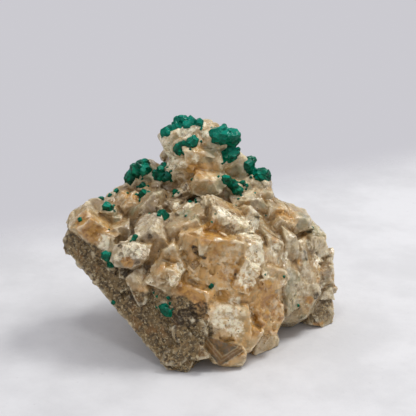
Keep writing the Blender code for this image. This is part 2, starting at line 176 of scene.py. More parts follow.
# %% Helpers for node materials
class Finish:
    """A material that is put together from nodes, one line to a node."""

    def __init__(self, name):
        self.material = bpy.data.materials.new(name)
        self.material.use_nodes = True
        self.tree = self.material.node_tree
        self.shader = self.tree.nodes["Principled BSDF"]
        self.place = self.add("ShaderNodeTexCoord").outputs["Object"]
        self.paint = None  # the colour so far

    def fill(self, socket, value):
        """Links an output to a socket, or sets the socket to a plain value."""
        if isinstance(value, bpy.types.NodeSocket):
            self.tree.links.new(value, socket)
        else:
            socket.default_value = value

    def fill_named(self, node, **inputs):
        """Fills the sockets named, where a name has _ for a space."""
        for name, value in inputs.items():
            self.fill(node.inputs[name.replace("_", " ")], value)

    def add(self, kind, settings=None, *values, **inputs):
        """Adds a node, sets its properties, and fills its sockets in order or by name."""
        node = self.tree.nodes.new(kind)
        for key, value in (settings or {}).items():
            setattr(node, key, value)
        for socket, value in zip(node.inputs, values):
            self.fill(socket, value)
        self.fill_named(node, **inputs)
        return node

    def maths(self, operation, *numbers):
        """One sum on a number or two."""
        return self.add("ShaderNodeMath", {"operation": operation}, *numbers).outputs["Value"]

    def times(self, first, second):
        """The product of two numbers."""
        return self.maths("MULTIPLY", first, second)

    def vector(self, operation, *values):
        """One sum on vectors, or the number that a dot product gives."""
        node = self.add("ShaderNodeVectorMath", {"operation": operation}, *values)
        return node.outputs["Value" if operation == "DOT_PRODUCT" else "Vector"]

    def centred(self, random_colour):
        """A random colour as a vector, with -0.5 to 0.5 on each axis."""
        return self.vector("SUBTRACT", random_colour, (0.5, 0.5, 0.5))

    def pushed(self, places, random_colour, factor):
        """Places or normals moved by factor * (a random colour - 0.5)."""
        push = self.centred(random_colour)
        scaled = self.add("ShaderNodeVectorMath", {"operation": "SCALE"}, push, Scale=factor)
        return self.vector("ADD", places, scaled.outputs["Vector"])

    def noise(self, size, detail=3.0, roughness=0.55, distortion=0.0, output="Fac", place=None):
        """Cloudy noise from 0 to 1 whose features measure about size, in millimetres."""
        node = self.add("ShaderNodeTexNoise", Vector=place or self.place, Scale=1 / (size * MM),
                        Detail=detail, Roughness=roughness, Distortion=distortion)
        return node.outputs[output]

    def cells(self, size, output="Distance", place=None):
        """Distances or colours of random cells that measure about size, in millimetres."""
        node = self.add("ShaderNodeTexVoronoi", Vector=place or self.place, Scale=1 / (size * MM))
        return node.outputs[output]

    def ramp(self, value, low, high, start=0.0, end=1.0):
        """Runs from start to end as value runs from low to high, smoothly at both ends."""
        node = self.add("ShaderNodeMapRange", {"interpolation_type": "SMOOTHSTEP"}, Value=value,
                        From_Min=low, From_Max=high, To_Min=start, To_Max=end)
        return node.outputs["Result"]

    def patches(self, size, low, high, start=0.0, end=1.0, **kind):
        """Noise in two tones: start where it is under low, and end where it is over high."""
        return self.ramp(self.noise(size, **kind), low, high, start, end)

    def mask(self, name):
        """A number from 0 to 1 that the mesh carries at its corners."""
        return self.add("ShaderNodeAttribute", {"attribute_name": name}).outputs["Fac"]

    def zone(self, name, size, low=0.38, high=0.62, torn=0.7):
        """A mask whose border is torn by noise of a size: mask + torn * (noise - 0.5), ramped."""
        noise = self.noise(size, detail=5, roughness=0.65)
        tear = self.times(self.maths("SUBTRACT", noise, 0.5), torn)
        return self.ramp(self.maths("ADD", self.mask(name), tear), low, high)

    def drawn_out(self, turn, squeeze):
        """Places turned by angles in degrees and squeezed on one axis, so that noise gets long."""
        node = self.add("ShaderNodeMapping", {"vector_type": "POINT"}, Vector=self.place,
                        Rotation=tuple(math.radians(a) for a in turn), Scale=(1, 1, squeeze))
        return node.outputs["Vector"]

    def strayed(self, size=2.0, reach=0.9):
        """Places moved by noise, up to about reach in millimetres, so that borders wander."""
        return self.pushed(self.place, self.noise(size, output="Color"), 2 * reach * MM)

    def layers(self, size, pitch):
        """Saw-toothed steps from 0 to 1 with a pitch in millimetres, each cell its own way."""
        way = self.vector("NORMALIZE", self.centred(self.cells(size, "Color", self.strayed())))
        along = self.vector("DOT_PRODUCT", self.place, way)
        return self.maths("FRACT", self.maths("DIVIDE", along, pitch * MM))

    def glitter(self, *sizes_and_tilts):
        """The surface's normal, turned at random in each cell, so that some catch the light."""
        normal = self.add("ShaderNodeNewGeometry").outputs["Normal"]
        for size, tilt in sizes_and_tilts:
            normal = self.pushed(normal, self.cells(size, "Color"), tilt)
        return self.vector("NORMALIZE", normal)

    def bump(self, height, depth, **normal):
        """Relief from a height from 0 to 1, depth in millimetres, over a Normal if one is given."""
        node = self.add("ShaderNodeBump", Height=height, Distance=depth * MM, **normal)
        return node.outputs["Normal"]

    def blend(self, share, first, second, how="MIX"):
        """Goes from the first colour to the second by share."""
        node = self.add("ShaderNodeMix", {"data_type": "RGBA", "blend_type": how}, share)
        self.fill(node.inputs[6], first)
        self.fill(node.inputs[7], second)
        return node.outputs[2]

    def lay(self, share, layer, how="MIX"):
        """Lays one more colour over the paint, by share."""
        self.paint = self.blend(share, self.paint, layer, how)

    def finished(self, **inputs):
        """Puts the paint and the values given on the shader, and gives back the material."""
        self.fill_named(self.shader, Base_Color=self.paint, **inputs)
        return self.material


def colour(red, green, blue):
    """A colour given as 0 to 255 on screen, as the linear numbers that a shader takes.

    As a share s of 255, each becomes ((s + 0.055) / 1.055) to the power 2.4, or s / 12.92
    near black.
    """
    share = np.array([red, green, blue]) / 255
    linear = np.where(share <= 0.04045, share / 12.92, ((share + 0.055) / 1.055) ** 2.4)
    return (*linear.tolist(), 1.0)


print("a middle grey of 128 in linear numbers:", [round(v, 2) for v in colour(128, 128, 128)])

# %% [markdown]
# ## The floor
#
# The specimen lies on a pale slab whose back edge is soft. Blurring the lens would blur the
# crystals too, so the slab is a plain square whose opacity fades over a band along that edge.

# %% Making the floor
FLOOR_SIDE = 1.6  # m
FLOOR_GREY = 219
CLOUD_DARKER, SCUFF_DARKER = 12, 45  # than the slab, in the same steps from 0 to 255
FLOOR_EDGE_LEFT = Vector((-71.8, 68.5, 0.0))  # mm, two points on the slab's back edge
FLOOR_EDGE_RIGHT = Vector((89.6, 161.6, 0.0))
FLOOR_EDGE_SOFTNESS = 26.0  # mm


def floor_finish():
    """Pale plaster that fades out where the distance past the edge is over zero."""
    finish = Finish("pale_slab")
    along = (FLOOR_EDGE_RIGHT - FLOOR_EDGE_LEFT).normalized()
    outward = Vector((-along.y, along.x, 0.0))
    edge = outward.dot(FLOOR_EDGE_LEFT) * MM
    soft = FLOOR_EDGE_SOFTNESS * MM
    past = finish.vector("DOT_PRODUCT", finish.place, outward)
    slab, cloudy, scuffed = (colour(*[FLOOR_GREY - v] * 3) for v in (0, CLOUD_DARKER, SCUFF_DARKER))
    finish.paint = finish.blend(finish.patches(30, 0.35, 0.65, detail=6, roughness=0.6), slab, cloudy)
    turned = finish.drawn_out((0, 0, 25), 1.0)
    finish.lay(finish.patches(2.5, 0.6, 0.75, 0.0, 0.35, detail=6, roughness=0.7, place=turned), scuffed)
    return finish.finished(Alpha=finish.ramp(past, edge - soft, edge + soft, 1.0, 0.0), Roughness=0.7,
                           Normal=finish.bump(finish.noise(2.2), 0.12))


def make_floor():
    """A square at z = 0."""
    half = FLOOR_SIDE / 2
    mesh = bpy.data.meshes.new("floor")
    corners = [(-half, -half, 0), (half, -half, 0), (half, half, 0), (-half, half, 0)]
    mesh.from_pydata(corners, [], [(0, 1, 2, 3)])
    mesh.materials.append(floor_finish())
    floor = bpy.data.objects.new("floor", mesh)
    bpy.context.scene.collection.objects.link(floor)
    floor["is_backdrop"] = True


make_floor()
print("floor side in mm:", FLOOR_SIDE / MM)

# %% [markdown]
# ## Shapes as fields
#
# A rock's surface can't be unrolled onto a sheet of paper, so a grid of two parameters
# can't make it. A field can: a number at every point of space that says how far the
# surface is, below zero inside and above zero outside. Two shapes join where the smaller
# number wins, one is carved out of the other where the larger wins, and noise that is
# added to the field roughens the surface. At the end, the surface is where the field is 0.
#
# Each field is a block of little cubes, and all sums are done on the whole block at once.

# %% From a mesh to a field and back
SAME_CORNER = 7  # decimals of a metre to which corners agree that are merged
LAST_CUBE = 1.001  # voxels before a block's end, the furthest that a field can be read


def corners_and_triangles(names):
    """Corners in millimetres and triangles of one or more CAD nodes, corners merged."""
    corners, triangles, count = [], [], 0
    for name in names:
        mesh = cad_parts[name].data
        places = np.empty(3 * len(mesh.vertices), np.float32)
        mesh.vertices.foreach_get("co", places)
        mesh.calc_loop_triangles()
        sides = np.empty(3 * len(mesh.loop_triangles), np.int32)
        mesh.loop_triangles.foreach_get("vertices", sides)
        places = places.reshape(-1, 3).round(SAME_CORNER)
        unique, where = np.unique(places, axis=0, return_inverse=True)
        corners.append(unique / MM)
        triangles.append(where.reshape(-1)[sides].reshape(-1, 3) + count)
        count += len(unique)
    return np.concatenate(corners).astype(np.float32), np.concatenate(triangles).astype(np.uint32)


class Field:
    """Distances to a surface on a block of voxels, in millimetres."""

    def __init__(self, low, high, voxel, value):
        self.voxel = voxel
        self.first = np.floor(np.array(low) / voxel).astype(int)
        count = np.ceil(np.array(high) / voxel).astype(int) - self.first + 1
        self.values = np.full(count, value, np.float32)

    def axes(self, box=None):
        """X, Y and Z of the voxels, in shapes that spread over the block or a box of it."""
        spans = box or [slice(0, n) for n in self.values.shape]
        lines = [(np.arange(s.start, s.stop) + f) * self.voxel for s, f in zip(spans, self.first)]
        return np.ix_(*[line.astype(np.float32) for line in lines])

    def box_around(self, place, reach):
        """The slices of the block within reach of a place."""
        low = np.floor((place - reach) / self.voxel).astype(int) - self.first
        high = np.ceil((place + reach) / self.voxel).astype(int) - self.first + 1
        ends = zip(low, high, self.values.shape)
        return tuple(slice(max(a, 0), max(min(b, n), max(a, 0))) for a, b, n in ends)

    def solid(self, corners, triangles, band):
        """Distances to a closed mesh, up to band, negative inside it."""
        grid = openvdb.FloatGrid.createLevelSetFromPolygons(
            corners, triangles=triangles, transform=openvdb.createLinearTransform(voxelSize=self.voxel),
            halfWidth=band / self.voxel)
        grid.copyToArray(self.values, ijk=tuple(int(v) for v in self.first))
        return self

    def at(self, places):
        """The field at any places, blended between the eight voxels around each."""
        spot = places / self.voxel - self.first
        spot = np.clip(spot, 0, np.array(self.values.shape) - LAST_CUBE)
        base = spot.astype(np.int32)
        part = (spot - base).astype(np.float32)
        total = np.zeros(len(places), np.float32)
        flat = self.values.reshape(-1)
        _, ny, nz = self.values.shape
        for corner in range(8):
            step = np.array([corner >> 2 & 1, corner >> 1 & 1, corner & 1])
            weight = np.prod(np.where(step, part, 1 - part), axis=1)
            index = base + step
            total += weight * flat[(index[:, 0] * ny + index[:, 1]) * nz + index[:, 2]]
        return total

    def like(self, values):
        """A field on the same block with other numbers."""
        other = Field.__new__(Field)
        other.voxel, other.first, other.values = self.voxel, self.first, values
        return other

    def surface(self, level=0.0, merge=0.0):
        """Corners in millimetres, triangles and quads of the surface where the field is at level."""
        grid = openvdb.FloatGrid(float(self.values.max()))
        grid.transform = openvdb.createLinearTransform(voxelSize=self.voxel)
        grid.copyFromArray(self.values, ijk=tuple(int(v) for v in self.first))
        return grid.convertToPolygons(isovalue=level, adaptivity=merge)

    def skin(self, level=0.0):
        """The same surface as corners and triangles alone."""
        corners, triangles, quads = self.surface(level)
        sides = np.concatenate([triangles, quads[:, [0, 1, 2]], quads[:, [0, 2, 3]]])
        return corners, np.ascontiguousarray(sides)

    def offset_and_back(self, offset, band):
        """Moves the surface by offset and back again, which rounds one kind of edge.

        Inwards and back rounds the edges that stand out, outwards and back fills creases.
        """
        self.solid(*self.skin(offset), band)
        self.values += offset


rock_corners, rock_triangles = corners_and_triangles([ROCK])
print("the rock's CAD solid:", len(rock_corners), "corners,", len(rock_triangles), "triangles")

# %% [markdown]
# ## What calcite is made of here
#
# One lump has several rocks in it. Clear calcite goes white where it is bruised, honey
# coloured or golden where iron got in, smoky in the hollows, and grey green beside the
# copper. Some of that is painted light: the white zone is bruised calcite and painted
# highlight, and the smoky zone is smoke-grey calcite and painted shade. The left flank and
# its underside are the dark host rock that the calcite grew on, and a little of that is left
# at the right foot. Each zone is a list of soft balls, put where the real lump changes. The
# material breaks up their borders with noise.

# %% Zones of the rock
ZONES = {
    # place in mm, radius in mm, strength
    # bruised calcite, and painted highlight
    "white": [
        (14.1, -17.5, 30.4, 3.4, 1), (15.8, -14.9, 33.2, 3, 0.9), (9.8, -12.7, 38.5, 3.5, 1),
        (5.7, -13.2, 41.0, 3, 0.9), (12.6, -11.6, 34.9, 3.2, 0.9), (14.6, -8.1, 36.8, 2.5, 0.8),
        (11.9, -20.0, 25.1, 3.4, 1), (5.7, -23.1, 14.9, 4, 0.95), (9.2, -23.1, 11.0, 2.6, 0.8),
        (12.6, -17.9, 13.9, 2.5, 0.7), (-11.5, 8.5, 52.5, 2.2, 1), (-10.9, 8.1, 55.6, 2.2, 0.9),
        (-9.2, 6.8, 49.4, 2.5, 1), (-6.0, 3.6, 49.6, 2, 0.7), (-5.5, 8.7, 58.4, 3, 1),
        (-1.2, 11.3, 58.8, 2.5, 1), (0.8, 7.2, 57.3, 2, 0.7), (-19.9, -19.2, 33.2, 2.6, 1),
        (-16.5, -18.7, 32.7, 2.2, 0.9), (-23.3, -18.6, 30.4, 2, 0.6), (-27.6, -11.1, 32.6, 2, 0.9),
        (-27.9, -11.6, 29.8, 1.8, 0.7), (19.6, -10.2, 29.3, 2.4, 0.9), (22.5, -6.2, 25.8, 2, 0.8),
        (-6.5, -19.3, 27.7, 2.5, 0.7), (-8.6, -21.7, 25.2, 2.5, 0.7), (3.0, -8.5, 43.4, 2, 0.6),
        (36.4, 2.8, 22.4, 2.5, 0.8), (32.9, 1.7, 20.7, 3, 0.7), (30.6, 3.2, 25.4, 2, 0.7),
        (34.5, 3.5, 12.6, 2, 0.7), (-2.3, 3.7, 51.6, 1.6, 0.8), (-3.9, -6.2, 41.1, 2, 0.8),
        (-7.9, -2.5, 39.7, 2, 0.7), (-15.9, -19.1, 31.4, 2, 0.6), (-14.6, -21.4, 24.5, 2, 0.6),
        (27.6, 2.9, 27.0, 2, 0.6), (8.7, -20.0, 18.5, 2.2, 0.6), (17.5, -16.3, 24.3, 2, 0.6),
        (21.9, -13.5, 20.7, 1.8, 0.6),
    ],
    "honey": [
        (-31.9, -10.7, 36.6, 3.6, 1), (-29.9, -10.3, 32.9, 2.5, 0.9), (-34.2, -8.7, 38.8, 2.5, 0.8),
        (2.1, -14.7, 36.7, 3.4, 1), (0.3, -18.5, 35.5, 2, 0.7), (3.8, -18.1, 35.9, 2, 0.8),
        (-3.8, -21.8, 21.4, 3.4, 1), (-1.1, -22.6, 19.1, 2.5, 0.8), (-6.5, -21.1, 23.2, 2, 0.6),
        (9.2, -21.2, 25.0, 3.5, 1), (6.5, -19.3, 26.5, 2.5, 0.9), (13.0, -19.9, 22.1, 2, 0.7),
        (18.8, -14.8, 16.1, 3.6, 1), (17.0, -16.9, 21.3, 2.6, 0.9), (21.7, -13.9, 12.1, 3, 0.9),
        (16.0, -17.9, 12.1, 3, 0.8), (14.0, -21.1, 9.7, 2.5, 0.8), (19.2, -16.9, 8.0, 2, 0.7),
        (-21.4, 2.9, 41.4, 2.4, 1), (-19.3, -0.2, 41.0, 1.6, 0.8), (-1.2, 2.7, 47.8, 2.5, 0.9),
        (-4.0, 3.2, 48.8, 2, 0.7), (1.6, -0.3, 46.4, 2, 0.6), (-20.6, -19.0, 29.3, 2, 1),
        (-23.1, -14.6, 25.7, 1.6, 0.7), (2.9, -19.2, 31.5, 3, 0.6), (7.5, -18.9, 34.2, 2.5, 0.6),
        (21.6, 1.9, 36.1, 2, 0.8), (24.5, 2.5, 34.0, 2, 0.7), (7.7, -6.1, 40.7, 2.6, 0.7),
        (12.4, 0.8, 39.2, 2, 0.6), (32.8, 0.1, 1.0, 1.5, 1), (34.7, 1.5, 1.6, 1.2, 0.7),
        (30.4, -4.1, 11.3, 1.8, 0.8), (32.8, -1.3, 16.3, 1.5, 0.7), (27.3, -3.3, 22.8, 1.5, 0.7),
        (-17.4, -21.0, 21.4, 1.6, 0.8), (-14.3, -19.9, 15.5, 1.5, 0.6), (9.8, -24.6, 5.1, 1.8, 0.8),
        (6.2, -26.0, 2.8, 2, 0.7), (19.9, -10.2, 32.2, 2, 0.7), (-3.8, -17.0, 33.5, 2.4, 0.6),
        (-11.9, -20.0, 28.0, 2.2, 0.6), (-7.7, -13.3, 37.9, 2, 0.5), (-26.7, -8.4, 35.1, 2, 0.6),
        (7.6, -22.7, 16.8, 1.8, 0.6), (2.4, -14.7, 39.2, 1.4, 0.6),
    ],
    "golden": [
        (2.9, -19.3, 32.9, 8, 0.8), (8.4, -21.3, 23.6, 9, 0.9), (16.8, -16.2, 16.8, 8, 1),
        (-1.1, -22.0, 22.4, 6.5, 0.9), (11.1, -22.5, 12.2, 7, 0.8), (-30.1, -10.1, 35.8, 4.5, 0.9),
        (0.2, 3.3, 47.6, 5, 0.9), (-4.0, 3.3, 51.1, 4, 0.5), (-21.0, 0.3, 41.1, 4, 0.8),
        (23.1, 2.5, 34.9, 4, 0.6), (19.7, -16.5, 7.8, 5, 0.9), (-6.5, -20.0, 27.4, 5, 0.6),
        (-3.8, -16.9, 35.5, 5, 0.6), (7.7, -5.5, 40.8, 4, 0.6), (-12.0, -17.0, 30.6, 4, 0.5),
        (5.7, -26.0, 3.4, 5, 0.7), (-26.3, -6.1, 35.1, 4, 0.5), (32.9, 0.4, 18.7, 3, 0.6),
        (-16.0, -21.6, 21.6, 3, 0.6),
    ],
    "grey_green": [
        (2.5, 7.0, 53.8, 3, 1), (1.1, 4.3, 50.8, 2.2, 0.7), (6.7, 2.8, 46.0, 4, 1),
        (10.3, 8.7, 45.8, 3, 0.9), (3.0, -0.3, 43.4, 2.5, 0.8), (12.5, 5.5, 41.4, 2.5, 0.7),
        (-15.6, 7.1, 46.3, 2.6, 0.9), (-17.5, 6.0, 45.5, 2.2, 0.9), (-13.0, -1.2, 43.2, 2.2, 0.6),
        (-26.3, -4.2, 38.3, 2.4, 1), (-24.7, -4.6, 36.6, 1.8, 0.7), (-5.3, -9.2, 40.1, 2.4, 0.9),
        (-2.5, -12.6, 39.6, 2, 0.8), (28.8, 5.1, 33.6, 2.5, 0.9), (31.4, 7.6, 29.6, 3, 1),
        (33.8, 6.8, 27.1, 2.5, 0.8), (27.5, 2.9, 32.0, 2, 0.7), (24.3, -7.9, 16.1, 3.2, 0.7),
        (25.0, -7.9, 11.5, 3.2, 0.7), (26.3, -6.2, 19.1, 2.8, 0.6), (23.6, -7.9, 21.6, 2.4, 0.6),
        (28.5, -4.8, 5.9, 2.4, 0.6), (20.6, -9.8, 25.5, 2, 0.6), (35.6, 3.8, 15.7, 2, 0.6),
        (-18.0, -3.6, 40.1, 2.4, 0.6), (-20.3, -2.7, 37.7, 2.2, 0.6), (-22.5, -9.3, 34.3, 2.2, 0.5),
        (28.5, -2.6, 22.5, 2, 0.6), (6.8, 3.7, 40.3, 2, 0.6), (18.8, 4.7, 40.2, 2.5, 0.7),
        (16.4, 1.5, 38.3, 2, 0.6), (10.0, -5.3, 39.3, 1.6, 0.5),
    ],
    "brown": [
        (-1.6, -17.7, 31.7, 1.5, 1), (0.0, -19.5, 31.3, 1.2, 1), (-2.5, -17.4, 32.8, 1.2, 0.8),
        (-2.2, -23.0, 16.3, 2.4, 1), (-3.8, -24.4, 14.6, 2.4, 1), (0.0, -23.1, 17.6, 2, 0.9),
        (-6.0, -22.6, 15.6, 1.8, 0.8), (-7.6, -23.8, 13.8, 2, 0.7), (29.0, -1.9, 25.9, 1.3, 1),
        (29.7, -1.8, 23.4, 1.2, 0.9), (34.6, 2.7, 8.1, 2, 0.5), (32.2, -3.0, 12.1, 1.6, 0.8),
        (-15.3, -16.4, 26.5, 1.6, 0.6), (-17.6, -19.4, 29.5, 1.4, 0.6), (-21.8, -14.9, 24.7, 2, 0.8),
        (-19.6, -17.4, 17.3, 2, 0.8), (-17.4, -21.4, 16.8, 1.8, 0.6), (-22.7, -17.5, 33.4, 1.6, 0.6),
        (-5.2, 2.7, 43.6, 1.6, 0.8), (-6.9, 0.8, 41.3, 1.6, 0.7), (-10.8, 1.5, 41.0, 1.5, 0.6),
        (-14.6, -16.2, 35.8, 1.6, 0.7), (12.5, -12.9, 34.8, 1, 0.5), (8.6, -19.4, 25.7, 0.8, 0.7),
        (27.6, -5.0, 6.0, 1.2, 0.7), (2.1, -25.9, 7.5, 1.6, 0.6), (5.4, -24.5, 7.8, 1.6, 0.6),
        (-9.8, -21.5, 20.4, 1.6, 0.5),
    ],
    "host": [
        (-38.2, -5.4, 31.5, 3.5, 0.8), (-37.0, -7.5, 28.8, 4.4, 1), (-34.1, -9.3, 26.5, 4.6, 1),
        (-31.2, -10.5, 25.8, 4, 1), (-29.8, -11.8, 23.3, 4.4, 1), (-26.6, -13.1, 22.7, 4.6, 1),
        (-27.2, -14.0, 19.4, 4.6, 1), (-24.4, -14.7, 20.4, 4, 1), (-22.7, -16.3, 17.4, 5, 1),
        (-21.0, -18.0, 14.0, 5, 1), (-18.0, -21.2, 16.7, 4.4, 1), (-18.2, -20.1, 10.7, 6, 1),
        (-14.8, -22.1, 8.1, 6, 1), (-14.8, -20.6, 12.8, 5, 1), (-11.2, -22.7, 10.2, 5, 1),
        (-12.1, -24.2, 4.9, 6, 1), (-7.6, -26.5, 6.7, 6, 1), (-7.1, -27.6, 3.0, 5, 1),
        (-3.3, -27.0, 6.9, 5, 1), (-2.5, -25.3, 2.4, 5, 1), (0.0, -27.6, 6.6, 3, 0.9),
        (-7.1, -25.1, 10.2, 5, 1), (-3.3, -25.6, 11.0, 4.4, 1), (0.3, -26.2, 11.3, 3, 0.9),
        (-12.0, -20.6, 17.0, 3.6, 0.8), (-8.7, -22.1, 15.9, 4, 0.9), (-5.2, -22.3, 17.8, 3, 0.8),
        (-14.7, -20.1, 18.6, 3, 0.8), (35.8, 4.2, 11.4, 3.2, 0.3), (35.9, 3.4, 7.2, 4.4, 0.4),
        (34.7, 1.9, 3.4, 4.4, 0.4), (31.5, -0.2, 3.7, 3, 0.4), (31.2, -2.8, 8.1, 3, 0.3),
        (-35.2, -7.2, 31.6, 3, 0.7), (-23.7, -14.8, 24.0, 3, 0.8), (-34.0, 0.0, 25.0, 6, 1),
        (-30.0, 0.0, 21.0, 6, 1), (-27.0, -6.0, 17.5, 6, 1), (-24.0, 2.0, 16.0, 6, 1),
        (-22.0, -6.0, 13.0, 6, 1), (-20.0, 4.0, 12.0, 6, 0.9), (-18.0, -10.0, 9.0, 6, 1),
        (-16.0, -2.0, 7.5, 6, 0.9), (-13.0, -12.0, 4.0, 6, 1), (-35.0, 7.0, 26.0, 5, 0.9),
        (-30.0, 8.0, 21.5, 6, 0.9), (-25.0, 10.0, 17.5, 5, 0.8),
    ],
    # smoke-grey calcite, and painted shade on the upper left
    "smoky_and_shade": [
        (-28.0, 0.0, 38.5, 6, 0.9), (-22.0, 0.5, 39.5, 7, 1), (-15.0, -3.0, 38.5, 7, 1),
        (-9.0, -7.0, 37.5, 6, 0.8), (-20.0, -9.0, 34.0, 6, 0.8), (-13.5, -14.0, 33.0, 6, 0.7),
        (-19.5, -16.0, 27.5, 5, 0.7), (-25.0, -10.0, 31.0, 5, 0.7), (-5.0, 3.0, 40.0, 6, 0.6),
        (3.0, -16.0, 31.0, 6, 0.8), (-18.0, -18.5, 31.0, 5, 0.6), (27.0, -2.0, 22.0, 7, 0.6),
        (31.0, 3.0, 18.0, 6, 0.6), (3.0, -10.0, 40.0, 5, 0.5), (-8.0, -18.0, 28.0, 5, 0.5),
        (-16.0, -18.0, 23.0, 5, 0.6), (-2.0, -10.0, 37.0, 5, 0.5),
    ],
    "glass": [
        (3.2, -25.9, 6.3, 2.6, 1), (6.0, -25.6, 5.0, 3, 1), (8.7, -24.9, 4.7, 2.4, 0.9),
        (7.1, -25.8, 2.1, 2.4, 0.9), (3.8, -26.4, 3.6, 2.2, 0.9), (1.6, -24.6, 7.5, 1.6, 0.8),
        (23.0, -5.6, 5.0, 1.6, 0.5),
    ],
}


def zone_mask(corners, rows):
    """1 - product of (1 - strength * exp(-(distance / radius)^2)) over the balls of a zone."""
    left = np.ones(len(corners), np.float32)
    for x, y, z, radius, strength in rows:
        apart = ((corners - np.array([x, y, z])) ** 2).sum(1)
        left *= 1 - strength * np.exp(-apart / radius ** 2)
    return 1 - left


print("balls in all zones:", sum(len(rows) for rows in ZONES.values()))

# %% [markdown]
# ## The rock
#
# Calcite splits along three directions that lean on each other by 75 degrees, so a broken
# lump of it is all steps: leaning blocks, the notches that other blocks left, and smaller
# ones on those. The CAD solid has the large blocks. The middling and small ones are stamped
# into its field, in and out, and neighbours share their directions, as one crystal's do.
#
# Random numbers come from generators with fixed seeds, so that each run gives this rock.

# %% Noise on the whole block
def lattice_weights(count, cell):
    """Shares of the lattice points beside each of count voxels, eased by t*t*(3 - 2*t)."""
    spot = np.arange(count) / cell
    base = spot.astype(int)
    part = spot - base
    part = part * part * (3 - 2 * part)
    weights = np.zeros((count, base[-1] + 2), np.float32)
    weights[np.arange(count), base] = 1 - part
    weights[np.arange(count), base + 1] += part
    return weights


def field_noise(field, size, seed):
    """Random numbers from -1 to 1 at points size apart, blended in between, on a field's voxels."""
    weights = [lattice_weights(n, size / field.voxel) for n in field.values.shape]
    rng = np.random.default_rng(seed)
    block = rng.uniform(-1, 1, [w.shape[1] for w in weights]).astype(np.float32)
    for axis, weight in enumerate(weights):
        block = np.moveaxis(np.tensordot(weight, block, axes=(1, axis)), 0, axis)
    return block


def softened(values, reach, rounds=1):
    """Each voxel becomes the mean of those within reach voxels of it, along each axis in turn."""
    width = 2 * reach + 1
    for _ in range(rounds):
        for axis in range(3):
            pad = [(0, 0)] * 3
            pad[axis] = (reach + 1, reach)
            total = np.cumsum(np.pad(values, pad, mode="edge"), axis=axis, dtype=np.float32)
            count = values.shape[axis]
            after = np.take(total, np.arange(width, width + count), axis=axis)
            before = np.take(total, np.arange(count), axis=axis)
            values = (after - before) / width
    return values


shares = lattice_weights(40, 18)[9].round(2)
print("with lattice points 18 voxels apart, the tenth voxel takes these shares of them:", shares)

# %% [markdown]
# Blocks that lie near each other come from one crystal and lean the same way. The rock is
# therefore shared out among domains, and each has one rotation for all its blocks.

# %% Domains
DOMAIN_COUNT = 150  # regions that share one set of directions
DOMAIN_SEED = 1


def random_turns(rng, count):
    """Rotation matrices from random unit quaternions."""
    w, x, y, z = rng.normal(size=(4, count))
    size = np.sqrt(w * w + x * x + y * y + z * z)
    w, x, y, z = w / size, x / size, y / size, z / size
    rows = [[1 - 2 * (y * y + z * z), 2 * (x * y - z * w), 2 * (x * z + y * w)],
            [2 * (x * y + z * w), 1 - 2 * (x * x + z * z), 2 * (y * z - x * w)],
            [2 * (x * z - y * w), 2 * (y * z + x * w), 1 - 2 * (x * x + y * y)]]
    return np.moveaxis(np.array(rows), 2, 0)


def scattered_on(corners, triangles, rng, count):
    """Points spread evenly over a mesh by area, and the way that the surface faces there."""
    a, b, c = (corners[triangles[:, i]].astype(float) for i in range(3))
    across = np.cross(b - a, c - a)
    area = np.linalg.norm(across, axis=1)
    picked = np.searchsorted(np.cumsum(area) / area.sum(), rng.uniform(size=count))
    u, v = rng.uniform(size=(2, count, 1))
    u, v = np.where(u + v > 1, 1 - u, u), np.where(u + v > 1, 1 - v, v)
    places = a[picked] + u * (b - a)[picked] + v * (c - a)[picked]
    return places, across[picked] / area[picked][:, None]


def domain_turns(places):
    """The rotation of the domain whose middle is nearest to each place."""
    nearest = np.argmin(((places[:, None] - domains[None]) ** 2).sum(2), axis=1)
    return turns[nearest]


domain_rng = np.random.default_rng(DOMAIN_SEED)
domains = scattered_on(rock_corners, rock_triangles, domain_rng, DOMAIN_COUNT)[0]
turns = random_turns(domain_rng, DOMAIN_COUNT)
print("domains:", len(domains), "with a rotation each:", turns.shape)

# %% [markdown]
# A cleavage block is a solid with three pairs of parallel faces, so three normals and three
# half sizes say all of it. Its distance at any point is the largest of its faces' distances.

# %% A cleavage block
CLEAVAGE_TILT = math.radians(44.7)  # of a cleavage face's normal, from calcite's own axis
AROUND = np.radians([0, 120, 240])
CLEAVAGE = np.stack([np.sin(CLEAVAGE_TILT) * np.cos(AROUND), np.sin(CLEAVAGE_TILT) * np.sin(AROUND),
                     np.full(3, np.cos(CLEAVAGE_TILT))], axis=1)
STAMP_MARGIN = 3  # voxels around a stamp that it may change


def stamp(field, place, normals, reaches, radius, add=True):
    """Joins a convex solid to a field, or carves it out.

    The solid's distance is the largest of normal . (p - place) - reach over its faces, and
    radius is that of a ball around it.
    """
    box = field.box_around(place, radius + STAMP_MARGIN * field.voxel)
    x, y, z = field.axes(box)
    x, y, z = x - place[0], y - place[1], z - place[2]
    distance = None
    for (a, b, c), reach in zip(normals, reaches):
        face = a * x + b * y + c * z - reach
        distance = face if distance is None else np.maximum(distance, face)
    part = field.values[box]
    field.values[box] = np.minimum(part, distance) if add else np.maximum(part, -distance)


def both_ways(normals, halves):
    """Three pairs of parallel faces from three normals and three half sizes."""
    return np.concatenate([normals, -normals]), np.concatenate([halves, halves])


angle = np.degrees(np.arccos(abs(CLEAVAGE[0] @ CLEAVAGE[1])))
print("calcite's cleavage faces lean on each other by", angle.round(1), "degrees")

# %% [markdown]
# Real broken edges are neither straight nor sharp. The CAD rock's are both, so its field is
# worn first. Moving the surface out and back fills the creases, in and back rounds the
# edges, and noise then bends the whole a little. Only voxels near the surface need that.

